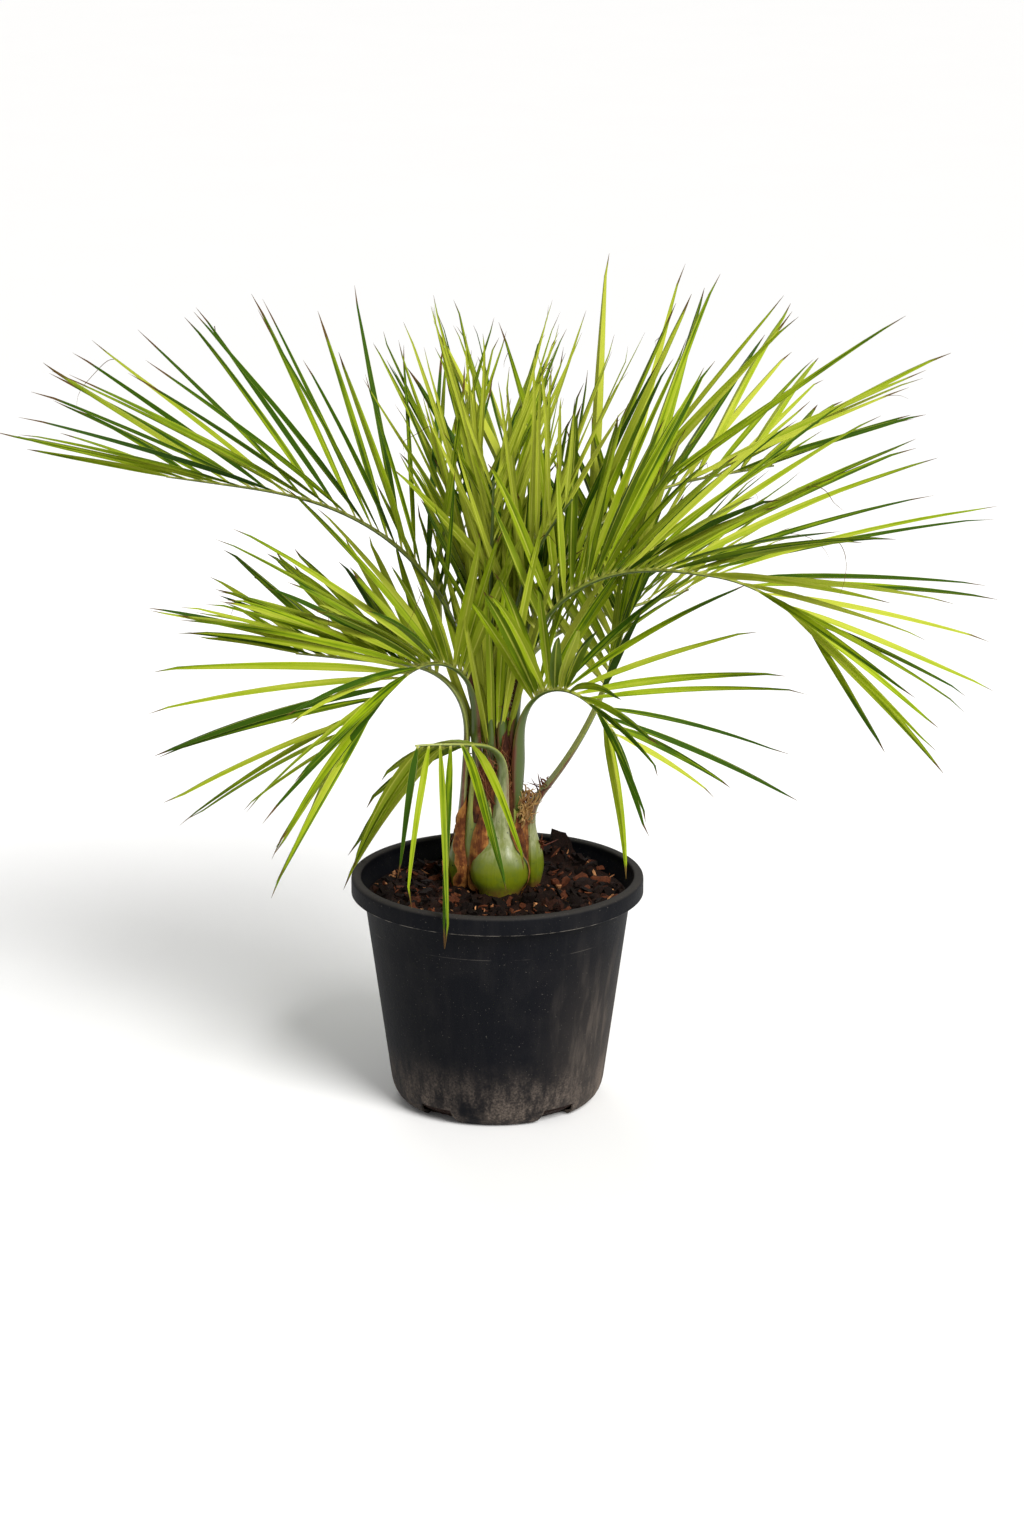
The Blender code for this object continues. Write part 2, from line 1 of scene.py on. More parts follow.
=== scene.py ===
"""Dresses the potted jelly palm: fine fronds, leaf bases, fibres, bark soil and the nursery pot.

Lengths in the classes are millimetres and angles are degrees; MM turns them into metres.
The pot stands on z = 0 with its axis on the origin, +X to the right and -Y to the front.
"""

import logging
import math
import random
from dataclasses import dataclass
from enum import Enum
from typing import Callable, Iterable, Sequence

import bmesh
import bpy
from mathutils import Matrix, Vector, noise
from mathutils.bvhtree import BVHTree

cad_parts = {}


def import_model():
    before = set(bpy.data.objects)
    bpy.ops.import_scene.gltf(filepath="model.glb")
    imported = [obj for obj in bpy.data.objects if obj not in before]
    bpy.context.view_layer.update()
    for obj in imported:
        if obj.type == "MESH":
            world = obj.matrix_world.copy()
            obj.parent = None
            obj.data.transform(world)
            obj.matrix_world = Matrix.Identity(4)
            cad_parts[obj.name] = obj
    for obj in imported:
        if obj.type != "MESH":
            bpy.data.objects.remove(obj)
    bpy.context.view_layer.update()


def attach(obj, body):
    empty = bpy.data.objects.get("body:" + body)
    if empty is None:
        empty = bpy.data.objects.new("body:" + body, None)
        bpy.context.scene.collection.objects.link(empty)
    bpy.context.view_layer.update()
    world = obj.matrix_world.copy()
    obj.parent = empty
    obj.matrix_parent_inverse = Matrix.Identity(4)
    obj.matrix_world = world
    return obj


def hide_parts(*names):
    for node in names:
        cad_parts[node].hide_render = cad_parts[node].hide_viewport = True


LOG = logging.getLogger("jelly palm")
MM = 0.001
BODY = "root"
Colour = tuple[float, float, float]
Points = Sequence[tuple[float, float]]


class Side(Enum):
    """The two sides of a leaf, seen along its stalk from above."""

    LEFT = -1
    RIGHT = 1


class AgeAndShade(Enum):
    """How old a leaf is, or how much painted shade it carries: the green of its leaflets, their
    dried tips, their painted shade, their width.
    """

    NEW = (1.06, 0.15, 0.0, 0.58)
    GROWN = (0.53, 0.50, 0.0, 1.0)
    # Darker green: painted shade on a leaf that stands in shadow
    DEEP = (0.32, 0.80, 0.05, 0.88)
    OLD = (0.58, 0.35, 0.0, 1.04)
    # Bluish and narrow: painted shade on the leaves at the back
    SHADED = (0.50, 0.45, 0.28, 0.54)


class Row(Enum):
    """The share of a leaf's rachis, from its foot, that bears leaflets between the main ones."""

    OPEN = 0.0
    LOWER = 0.45


# Small sums


def turn(angle: float) -> Vector:
    """Return the level direction at an angle from +X."""
    return Vector((math.cos(math.radians(angle)), math.sin(math.radians(angle)), 0.0))


def up(height: float) -> Vector:
    """Return the upright vector of a height."""
    return Vector((0.0, 0.0, height))


def ease(value: float, start: float, end: float) -> float:
    """Return a smooth step of a value, from 0 at the start to 1 at the end."""
    share = min(max((value - start) / (end - start), 0.0), 1.0)
    return share * share * (3.0 - 2.0 * share)


def mix(low: float, high: float, share: float) -> float:
    """Return the value a share of the way from low to high."""
    return low + (high - low) * share


def read_profile(points: Points, place: float) -> float:
    """Return the value at a place on (place, value) points that straight lines join.

    Args:
        points: the places and values, in order.
        place: where to read them.

    Returns:
        The value there.
    """
    for (start, low), (end, high) in zip(points, points[1:]):
        if place <= end:
            return mix(low, high, max(0.0, (place - start) / (end - start)))
    return points[-1][1]


def read_curve(points: Points, place: float) -> float:
    """Return the value at a place on a list of (place, value) points, joined by a smooth curve.

    Args:
        points: the places and values, in order.
        place: where to read the curve.

    Returns:
        The value there, and the end value past an end.
    """
    if place <= points[0][0]:
        return points[0][1]
    for i, ((start, low), (end, high)) in enumerate(zip(points, points[1:])):
        if place <= end:
            before = points[max(i - 1, 0)]
            after = points[min(i + 2, len(points) - 1)]
            run = end - start
            enter = (high - before[1]) / (end - before[0]) * run
            leave = (after[1] - low) / (after[0] - start) * run
            t = (place - start) / run
            return (low * (1 + 2 * t) * (1 - t) ** 2 + enter * t * (1 - t) ** 2
                    + high * t * t * (3 - 2 * t) + leave * t * t * (t - 1))
    return points[-1][1]


# Materials


class Value:
    """A socket of a material's node tree, on which sums add Math nodes."""

    def __init__(self, recipe: "Recipe", socket: bpy.types.NodeSocket) -> None:
        """Keep the socket and the recipe that it belongs to."""
        self.recipe = recipe
        self.socket = socket

    def join(self, operation: str, *values: "Value | float") -> "Value":
        """Return the result of a Math node on values."""
        settings = {"operation": operation}
        return self.recipe.node("ShaderNodeMath", settings, dict(enumerate(values)))

    def __add__(self, other: "Value | float") -> "Value":
        """Return the sum."""
        return self.join("ADD", self, other)

    __radd__ = __add__

    def __sub__(self, other: "Value | float") -> "Value":
        """Return the difference."""
        return self.join("SUBTRACT", self, other)

    def __rsub__(self, other: "Value | float") -> "Value":
        """Return the difference the other way round."""
        return self.join("SUBTRACT", other, self)

    def __mul__(self, other: "Value | float") -> "Value":
        """Return the product."""
        return self.join("MULTIPLY", self, other)

    __rmul__ = __mul__

    def __abs__(self) -> "Value":
        """Return the value without its sign."""
        return self.join("ABSOLUTE", self)

    def step(self, start: "Value | float", end: "Value | float") -> "Value":
        """Return a smooth step of the value, from 0 at the start to 1 at the end."""
        settings = {"interpolation_type": "SMOOTHSTEP"}
        return self.recipe.node("ShaderNodeMapRange", settings, {0: self, 1: start, 2: end})


class Recipe:
    """One material: its Principled shader and the nodes that feed it."""

    def __init__(self, name: str) -> None:
        """Start a material with a Principled shader.

        Args:
            name: the material's name.
        """
        self.material = bpy.data.materials.new(name)
        self.material.use_nodes = True
        self.tree = self.material.node_tree
        self.shader = self.tree.nodes["Principled BSDF"]

    def node(self, kind: str, settings: dict | None = None, inputs: dict | None = None,
             output: int | str = 0) -> Value:
        """Add a node.

        Args:
            kind: the node's type.
            settings: its properties, and a ramp's stops as (place, colour) pairs.
            inputs: values or links of its sockets, by name or number.
            output: which of its outputs to return.

        Returns:
            The output, for sums and links.
        """
        node = self.tree.nodes.new(kind)
        for name, value in (settings or {}).items():
            if name == "stops":
                self.set_stops(node.color_ramp, value)
            else:
                setattr(node, name, value)
        for key, value in (inputs or {}).items():
            self.feed(node.inputs[key], value)
        return Value(self, node.outputs[output])

    @staticmethod
    def set_stops(ramp: bpy.types.ColorRamp, stops: Sequence[tuple[float, Colour]]) -> None:
        """Give a ramp its stops.

        Args:
            ramp: the ramp.
            stops: the place and colour of each stop.
        """
        while len(ramp.elements) < len(stops):
            ramp.elements.new(1.0)
        for element, (place, colour) in zip(ramp.elements, stops):
            element.position = place
            element.color = (*colour, 1.0)

    def feed(self, socket: bpy.types.NodeSocket, value: "Value | float | Sequence[float]") -> None:
        """Link a value to a socket, or set the socket to a plain one.

        Args:
            socket: the socket.
            value: a link, or a number, colour or vector.
        """
        if isinstance(value, Value):
            self.tree.links.new(value.socket, socket)
        elif isinstance(value, tuple) and len(value) == 3 and socket.type == "RGBA":
            socket.default_value = (*value, 1.0)
        else:
            socket.default_value = value

    def place(self, scale: tuple[float, float, float] = (1.0, 1.0, 1.0)) -> Value:
        """Return the point on the object, stretched."""
        point = self.node("ShaderNodeTexCoord", output="Object")
        return self.node("ShaderNodeMapping", {}, {"Vector": point, "Scale": scale})

    def split(self, vector: Value) -> tuple[Value, Value, Value]:
        """Return the three parts of a vector.

        Args:
            vector: the vector.

        Returns:
            Its X, Y and Z.
        """
        node = self.tree.nodes.new("ShaderNodeSeparateXYZ")
        self.feed(node.inputs[0], vector)
        first, second, third = (Value(self, output) for output in node.outputs)
        return first, second, third

    def tones(self) -> tuple[Value, Value, Value]:
        """Return the three parts of the piece's tone attribute."""
        return self.split(self.node("ShaderNodeAttribute", {"attribute_name": "tone"}))

    def strip(self) -> tuple[Value, Value, Value]:
        """Return the parts of the piece's UV map: the shares along it and round it, and zero."""
        return self.split(self.node("ShaderNodeTexCoord", output="UV"))

    def noise(self, vector: Value, scale: float, detail: float = 3.0,
              roughness: float = 0.55) -> Value:
        """Return a soft noise between 0 and 1."""
        inputs = {"Vector": vector, "Scale": scale, "Detail": detail, "Roughness": roughness}
        return self.node("ShaderNodeTexNoise", {}, inputs)

    def lines(self, *parts: Value, detail: float = 2.0) -> Value:
        """Return a noise at a place given in parts, so that it can be drawn out into lines."""
        vector = self.node("ShaderNodeCombineXYZ", {}, dict(enumerate(parts)))
        return self.noise(vector, 1.0, detail)

    def blend(self, factor: "Value | float", first: "Value | Colour",
              second: "Value | Colour") -> Value:
        """Return a colour a share of the way from the first to the second."""
        inputs = {0: factor, 6: first, 7: second}
        return self.node("ShaderNodeMix", {"data_type": "RGBA"}, inputs, 2)

    def ramp(self, value: Value, *stops: tuple[float, Colour]) -> Value:
        """Return the colour of a ramp at a value."""
        return self.node("ShaderNodeValToRGB", {"stops": stops}, {0: value})

    def finish(self, colour: Value, roughness: "Value | float", height: Value | None = None,
               depth: float = 0.0, **constants: float) -> bpy.types.Material:
        """Feed the shader.

        Args:
            colour: the base colour.
            roughness: how matt the surface is.
            height: what the bump follows.
            depth: how deep the bump is, in metres.
            constants: other sockets of the shader, with spaces written as underscores.

        Returns:
            The finished material.
        """
        self.feed(self.shader.inputs["Base Color"], colour)
        self.feed(self.shader.inputs["Roughness"], roughness)
        if height is not None:
            inputs = {"Height": height, "Distance": depth, "Strength": 1.0}
            self.feed(self.shader.inputs["Normal"], self.node("ShaderNodeBump", {}, inputs))
        for name, value in constants.items():
            self.shader.inputs[name.replace("_", " ")].default_value = value
        return self.material


@dataclass(frozen=True)
class PotPlastic:
    """Black nursery plastic, dusty at its foot, with faint streaks and scuffs; its right side is
    lighter with wear, dust and painted light, and its rim's top edge has a painted highlight.
    """

    colour: Colour = (0.0040, 0.0044, 0.0062)
    # Colour of wear, also used for painted light on the right side and a painted highlight on the
    # rim's top
    worn_and_lit: Colour = (0.034, 0.031, 0.029)
    # Colour of dust, also laid on the right side as painted light
    dust_and_light: Colour = (0.140, 0.112, 0.092)
    speck: Colour = (0.22, 0.20, 0.17)
    dust_heights: tuple[float, float] = (0.080, 0.004)
    # Where the right side is lighter: part wear and dust, part painted light from the right
    worn_lit_side: tuple[float, float] = (0.03, 0.125)
    worn_lit_heights: tuple[float, float] = (0.215, 0.03)
    # Heights above which the rim's top carries a painted highlight
    rim_highlight: tuple[float, float] = (0.2365, 0.2395)
    seam: float = 0.2213
    scribed_line: float = 0.190
    # Squares of the distance from the axis, between which the seam's dust comes in
    outer_wall: tuple[float, float] = (0.0188, 0.0198)

    def make(self) -> bpy.types.Material:
        """Make the material.

        Returns:
            The finished material.
        """
        r = Recipe("nursery pot plastic")
        point = r.place()
        x, y, z = r.split(point)
        streaks = r.noise(r.place((1.0, 1.0, 0.13)), 75.0, 4.0, 0.6)
        drips = r.noise(r.place((1.0, 1.0, 0.30)), 95.0, 5.0, 0.65)
        blotches = r.noise(point, 22.0, 4.0, 0.6)
        grain = r.noise(point, 420.0, 3.0, 0.6)
        specks = r.noise(point, 700.0, 1.0, 0.4).step(0.735, 0.79)
        # Mask of the right side, where wear and dust carry painted light too
        right = x.step(*self.worn_lit_side) * z.step(*self.worn_lit_heights)
        # Real streaks and blotches of wear, with painted light on the right side and a painted
        # highlight on the rim's top edge
        worn_and_lit = (streaks.step(0.46, 0.72) * (0.10 + 0.90 * right) + blotches.step(0.45, 0.8) * 0.16
                + right * 0.45 + z.step(*self.rim_highlight) * 0.95)
        low = z.step(*self.dust_heights) * (0.25 + drips.step(0.36, 0.62))
        # Dust at the foot, and dust with painted light on the right side
        dusty_and_lit = (low * blotches.step(0.30, 0.55) * (0.30 + 0.8 * grain.step(0.3, 0.75)) * 0.80
                 + right * (0.40 + streaks.step(0.44, 0.72)) * 0.46)
        outside = (x * x + y * y).step(*self.outer_wall)
        seam = abs(z - self.seam).step(0.0008, 0.0002) * streaks.step(0.40, 0.60) * outside
        scribed = abs(z - self.scribed_line).step(0.0005, 0.0001) * blotches.step(0.50, 0.62)
        colour = r.blend(worn_and_lit, self.colour, self.worn_and_lit)
        colour = r.blend(dusty_and_lit, colour, self.dust_and_light)
        colour = r.blend(specks * 0.35 + seam * 0.75 + scribed * 0.20, colour, self.speck)
        roughness = 0.54 + 0.10 * worn_and_lit + 0.25 * dusty_and_lit + 0.06 * grain
        height = grain * 0.5 + blotches + dusty_and_lit * 0.5
        return r.finish(colour, roughness, height, 0.0006, Specular_IOR_Level=0.06)


@dataclass(frozen=True)
class BarkMix:
    """Damp bark chips, nearly black to rusty brown, with a few pale orange bits."""

    dark: Colour = (0.0065, 0.0030, 0.0020)
    brown: Colour = (0.038, 0.0120, 0.0062)
    rust: Colour = (0.165, 0.046, 0.017)
    pale: Colour = (0.62, 0.29, 0.125)

    def make(self) -> bpy.types.Material:
        """Make the material.

        Returns:
            The finished material.
        """
        r = Recipe("bark mix")
        point = r.place()
        kind, _, _ = r.tones()
        crumbs = r.noise(point, 260.0, 5.0, 0.65)
        fibres = r.noise(r.place((1.0, 0.35, 1.0)), 520.0, 3.0, 0.6)
        value = kind + (crumbs - 0.5) * 0.35
        colour = r.ramp(value, (0.12, self.dark), (0.50, self.brown), (0.80, self.rust),
                        (0.97, self.pale))
        colour = r.blend(fibres.step(0.42, 0.75) * 0.35, colour, self.dark)
        roughness = 0.62 + 0.3 * fibres
        return r.finish(colour, roughness, crumbs + fibres * 0.6, 0.0022, Specular_IOR_Level=0.14)


@dataclass(frozen=True)
class SheathFibre:
    """Brown matted fibre of old leaf sheaths, in crossing strands."""

    dark: Colour = (0.022, 0.008, 0.004)
    brown: Colour = (0.130, 0.045, 0.014)
    ochre: Colour = (0.38, 0.18, 0.050)

    def make(self) -> bpy.types.Material:
        """Make the material.

        Returns:
            The finished material.
        """
        r = Recipe("sheath fibre")
        rising = r.noise(r.place((1.0, 1.0, 0.12)), 620.0, 4.0, 0.6)
        patches = r.noise(r.place(), 60.0, 3.0)
        kind, _, _ = r.tones()
        value = rising * 0.75 + patches * 0.35 + kind * 0.3 - 0.15
        colour = r.ramp(value, (0.30, self.dark), (0.52, self.brown), (0.80, self.ochre))
        return r.finish(colour, 0.72 + 0.2 * patches, rising, 0.0018, Specular_IOR_Level=0.15)


@dataclass(frozen=True)
class DryPaper:
    """Papery dried margin of a leaf sheath, ochre to chestnut, veined along its length."""

    chestnut: Colour = (0.050, 0.013, 0.006)
    brown: Colour = (0.190, 0.056, 0.014)
    ochre: Colour = (0.520, 0.230, 0.055)

    def make(self) -> bpy.types.Material:
        """Make the material.

        Returns:
            The finished material.
        """
        r = Recipe("dry sheath paper")
        along, across, _ = r.strip()
        kind, _, _ = r.tones()
        veins = r.lines(along * 2.0, across * 46.0, detail=3.0)
        patches = r.noise(r.place(), 95.0, 4.0, 0.6)
        value = kind + (patches - 0.5) * 1.7 + (veins - 0.5) * 0.8
        colour = r.ramp(value, (0.15, self.chestnut), (0.50, self.brown), (0.92, self.ochre))
        return r.finish(colour, 0.55 + 0.25 * patches, veins, 0.0014, Specular_IOR_Level=0.2)


@dataclass(frozen=True)
class StalkGreen:
    """Stalk and leaf base: fresh green below, a grey bloom on the neck, dry reddish margins."""

    fresh: Colour = (0.175, 0.212, 0.004)
    grown: Colour = (0.125, 0.175, 0.012)
    under: Colour = (0.062, 0.098, 0.009)
    upper: Colour = (0.400, 0.430, 0.070)
    bloom: Colour = (0.375, 0.398, 0.200)
    margin: Colour = (0.135, 0.036, 0.018)
    spot: Colour = (0.016, 0.013, 0.008)

    def make(self) -> bpy.types.Material:
        """Make the material.

        Returns:
            The finished material.
        """
        r = Recipe("leaf stalk")
        along, around, _ = r.strip()
        bloom, dry, swell = r.tones()
        point = r.place()
        veins = r.noise(r.place((1.0, 1.0, 0.07)), 420.0, 3.0)
        streaky = r.noise(r.place((1.0, 1.0, 0.30)), 130.0, 4.0, 0.65)
        mottle = r.noise(point, 85.0, 4.0, 0.65)
        patches = r.noise(point, 42.0, 4.0, 0.6)
        spots = r.noise(point, 240.0, 2.0, 0.5).step(0.655, 0.69) * patches.step(0.44, 0.58)
        top = abs(around - 0.5).step(0.30, 0.16)
        powdery = bloom * (0.30 + 0.85 * streaky.step(0.34, 0.62)) * 0.92
        soiled = along.step(0.090, 0.030) * swell * mottle.step(0.30, 0.62)
        colour = r.blend(top, self.under, self.grown)
        colour = r.blend(top * along.step(0.25, 0.55) * 0.75, colour, self.upper)
        colour = r.blend(swell * 0.95, colour, self.fresh)
        colour = r.blend(swell * mottle.step(0.42, 0.66) * 0.80, colour, self.grown)
        colour = r.blend(powdery, colour, self.bloom)
        colour = r.blend(veins.step(0.45, 0.75) * 0.20, colour, self.under)
        colour = r.blend(dry * (0.55 + 0.6 * patches.step(0.35, 0.6)), colour, self.margin)
        colour = r.blend(spots * (0.35 + 0.55 * swell), colour, self.spot)
        colour = r.blend(soiled * 0.75, colour, self.margin)
        roughness = 0.34 + 0.20 * bloom + 0.16 * patches + 0.2 * dry
        height = veins * 0.6 + patches * 0.5 + spots * -0.4
        return r.finish(colour, roughness, height, 0.0006, Specular_IOR_Level=0.25,
                        Coat_Weight=0.55, Coat_Roughness=0.24)


@dataclass(frozen=True)
class BladeGreen:
    """Leaflet: light to deep green, a pale rib and margins, fine veins, a dried purplish tip, and
    bluish green as painted shade.
    """

    light: Colour = (0.430, 0.470, 0.045)
    middle: Colour = (0.245, 0.335, 0.005)
    deep: Colour = (0.032, 0.080, 0.002)
    # Bluish green of painted shade on leaflets in shadow
    shade_blue_green: Colour = (0.028, 0.078, 0.016)
    under: Colour = (0.225, 0.300, 0.008)
    rib: Colour = (0.620, 0.640, 0.110)
    joint: Colour = (0.560, 0.560, 0.130)
    tip: Colour = (0.110, 0.052, 0.018)
    keel: float = 0.3333
    back_keel: float = 0.8333

    def make(self) -> bpy.types.Material:
        """Make the material.

        Returns:
            The finished material.
        """
        r = Recipe("leaflet")
        along, around, _ = r.strip()
        green, dried, shaded = r.tones()
        patches = r.noise(r.place(), 26.0, 3.0)
        veins = r.lines(along * 3.0, around * 42.0, green * 9.0)
        stripes = r.lines(along * 1.6, around * 8.0, green * 31.0)
        value = (green - along.step(0.30, 1.0) * 0.25 + (patches - 0.5) * 0.45
                 + (stripes - 0.5) * 1.5 + (veins - 0.5) * 0.35)
        colour = r.ramp(value, (0.06, self.deep), (0.44, self.middle), (1.0, self.light))
        # Painted shade: leaflets with a shaded tone turn bluish green
        colour = r.blend(shaded * 0.75, colour, self.shade_blue_green)
        below = around.step(0.655, 0.68)
        colour = r.blend(below * 0.30, colour, self.under)
        off_keel = abs(around - self.keel)
        rib = off_keel.step(0.022, 0.010) + abs(around - self.back_keel).step(0.030, 0.014)
        margins = off_keel.step(0.318, 0.330) * (1.0 - below)
        colour = r.blend((rib * 0.60 + margins * 0.45) * along.step(0.97, 0.75), colour, self.rib)
        colour = r.blend(along.step(0.045, 0.012) * 0.8, colour, self.joint)
        start = 0.96 - dried * 0.10
        burnt = (along + (patches - 0.5) * 0.06).step(start, start + 0.045)
        colour = r.blend(burnt * 0.92, colour, self.tip)
        roughness = 0.42 + 0.14 * patches + 0.08 * veins + 0.25 * burnt
        return r.finish(colour, roughness, veins + rib * 0.5, 0.0004, Specular_IOR_Level=0.07)


@dataclass(frozen=True)
class ThreadBrown:
    """Loose fibres and spines: reddish brown to pale tan, each of one tone."""

    red: Colour = (0.125, 0.024, 0.009)
    brown: Colour = (0.250, 0.092, 0.030)
    tan: Colour = (0.64, 0.40, 0.15)

    def make(self) -> bpy.types.Material:
        """Make the material.

        Returns:
            The finished material.
        """
        r = Recipe("loose fibre")
        kind, _, _ = r.tones()
        patches = r.noise(r.place(), 320.0, 2.0)
        colour = r.ramp(kind + (patches - 0.5) * 0.4, (0.10, self.red), (0.50, self.brown),
                        (0.92, self.tan))
        return r.finish(colour, 0.55 + 0.2 * patches, patches, 0.0002, Specular_IOR_Level=0.4)


@dataclass(frozen=True)
class PaleFloor:
    """Matt pale studio floor."""

    colour: Colour = (0.93, 0.93, 0.93)

    def make(self) -> bpy.types.Material:
        """Make the material.

        Returns:
            The finished material.
        """
        r = Recipe("studio floor")
        patches = r.noise(r.place(), 3.0)
        darker = tuple(part * 0.985 for part in self.colour)
        return r.finish(r.blend(patches, self.colour, darker), 0.85, Specular_IOR_Level=0.2)


# Mesh tools


class Piece:
    """A mesh under way: a bmesh with a UV map and a tone for every vertex."""

    def __init__(self) -> None:
        """Start an empty mesh with its layers."""
        self.bm = bmesh.new()
        self.bm.loops.layers.uv.new("UVMap")
        self.tone = self.bm.verts.layers.float_color.new("tone")

    def paint(self, verts: Iterable[bmesh.types.BMVert], tone: Colour) -> None:
        """Give vertices one tone."""
        for vert in verts:
            vert[self.tone] = (*tone, 1.0)

    def spin(self, profile: Points, steps: int) -> None:
        """Spin a profile of (radius, height) points, from axis to axis, into a closed solid.

        Args:
            profile: the points, in millimetres.
            steps: how many facets a turn has.
        """
        bm = self.bm
        verts = [bm.verts.new((radius * MM, 0.0, height * MM)) for radius, height in profile]
        edges = [bm.edges.new(pair) for pair in zip(verts, verts[1:])]
        bmesh.ops.spin(bm, geom=[*verts, *edges], cent=(0, 0, 0), axis=(0, 0, 1), dvec=(0, 0, 0),
                       angle=math.tau, steps=steps, use_merge=True, use_duplicate=False)
        bmesh.ops.remove_doubles(bm, verts=bm.verts, dist=1e-6)
        bmesh.ops.dissolve_degenerate(bm, dist=1e-7, edges=bm.edges)
        for face in bm.faces:
            face.smooth = True

    def tube(self, columns: int, sides: int, place: Callable[[float, float], Vector],
             tone: Callable[[float, float], Colour], pointed: bool = True, slot: int = 0) -> None:
        """Roll a grid into a closed tube.

        Args:
            columns: faces along it.
            sides: faces round it.
            place: the point, in millimetres, for a share along and a share round.
            tone: the tone for the same shares.
            pointed: whether the far end runs to a point or is capped.
            slot: the material of its faces.
        """
        grid = bmesh.ops.create_grid(self.bm, x_segments=columns, y_segments=sides, size=0.5,
                                     calc_uvs=True)["verts"]
        faces = dict.fromkeys(face for vert in grid for face in vert.link_faces)
        ends, seam = ([], []), []
        for vert in grid:
            along, around = vert.co.x + 0.5, vert.co.y + 0.5
            if along < 0.001 or along > 0.999:
                ends[along > 0.5].append(vert)
            if around < 0.001 or around > 0.999:
                seam.append(vert)
            vert.co = place(along, around) * MM
            vert[self.tone] = (*tone(along, around), 1.0)
        weld = dict.fromkeys([*seam, *ends[1]] if pointed else seam)
        bmesh.ops.remove_doubles(self.bm, verts=list(weld), dist=2e-6)
        for end in ends[:1] if pointed else ends:
            rim = dict.fromkeys(edge for vert in end if vert.is_valid for edge in vert.link_edges
                                if edge.is_boundary)
            caps = bmesh.ops.edgeloop_fill(self.bm, edges=list(rim))["faces"]
            faces.update(dict.fromkeys(caps))
        for face in faces:
            if face.is_valid:
                face.smooth = True
                face.material_index = slot

    def strand(self, curve: Callable[[float], Vector], radius: float, tone: Colour,
               columns: int, slot: int = 0) -> None:
        """Add one thin tapering strand.

        Args:
            curve: the strand's middle line, as a function of the place from 0 to 1 along it.
            radius: how thick it is at its foot.
            tone: its tone.
            columns: how many rings it has.
            slot: its material.
        """

        def place(along: float, around: float) -> Vector:
            """Return a point of the strand.

            Args:
                along: the share of its length.
                around: the share of the way round.

            Returns:
                The point, in millimetres.
            """
            ahead = (curve(min(1.0, along + 0.02)) - curve(max(0.0, along - 0.02))).normalized()
            side = ahead.orthogonal().normalized()
            angle = math.tau * around
            off = side * math.cos(angle) + ahead.cross(side) * math.sin(angle)
            return curve(along) + off * (radius * (1.0 - 0.8 * along ** 3))

        self.tube(columns, 3, place, lambda along, around: tone, slot=slot)

    def finish(self, name: str, materials: Sequence[bpy.types.Material], slot: str,
               replaced: Sequence[str] = (), crease: float = 30.0) -> bpy.types.Object:
        """Turn the mesh into a piece that rides on the palm.

        Args:
            name: the piece's name.
            materials: its materials, by slot.
            slot: the record's slot for its finish; not used.
            replaced: the CAD nodes that it stands for.
            crease: the angle past which an edge stays sharp.

        Returns:
            The finished object.
        """
        bmesh.ops.recalc_face_normals(self.bm, faces=self.bm.faces)
        item = make_object(name, self.bm)
        for material in materials:
            item.data.materials.append(material)
        item.data.set_sharp_from_angle(angle=math.radians(crease))
        if replaced:
            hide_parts(*replaced)
        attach(item, BODY)
        LOG.info("%s: %d faces", name, len(item.data.polygons))
        return item


def make_object(name: str, bm: bmesh.types.BMesh) -> bpy.types.Object:
    """Turn a finished bmesh into an object and free it.

    Args:
        name: its name.
        bm: the bmesh.

    Returns:
        The object, in the scene.
    """
    mesh = bpy.data.meshes.new(name)
    bm.to_mesh(mesh)
    bm.free()
    item = bpy.data.objects.new(name, mesh)
    bpy.context.scene.collection.objects.link(item)
    return item


def apply_modifiers(item: bpy.types.Object) -> None:
    """Apply an object's modifiers to its mesh.

    Args:
        item: the object.
    """
    graph = bpy.context.evaluated_depsgraph_get()
    mesh = bpy.data.meshes.new_from_object(item.evaluated_get(graph))
    item.modifiers.clear()
    item.data = mesh


# The pot


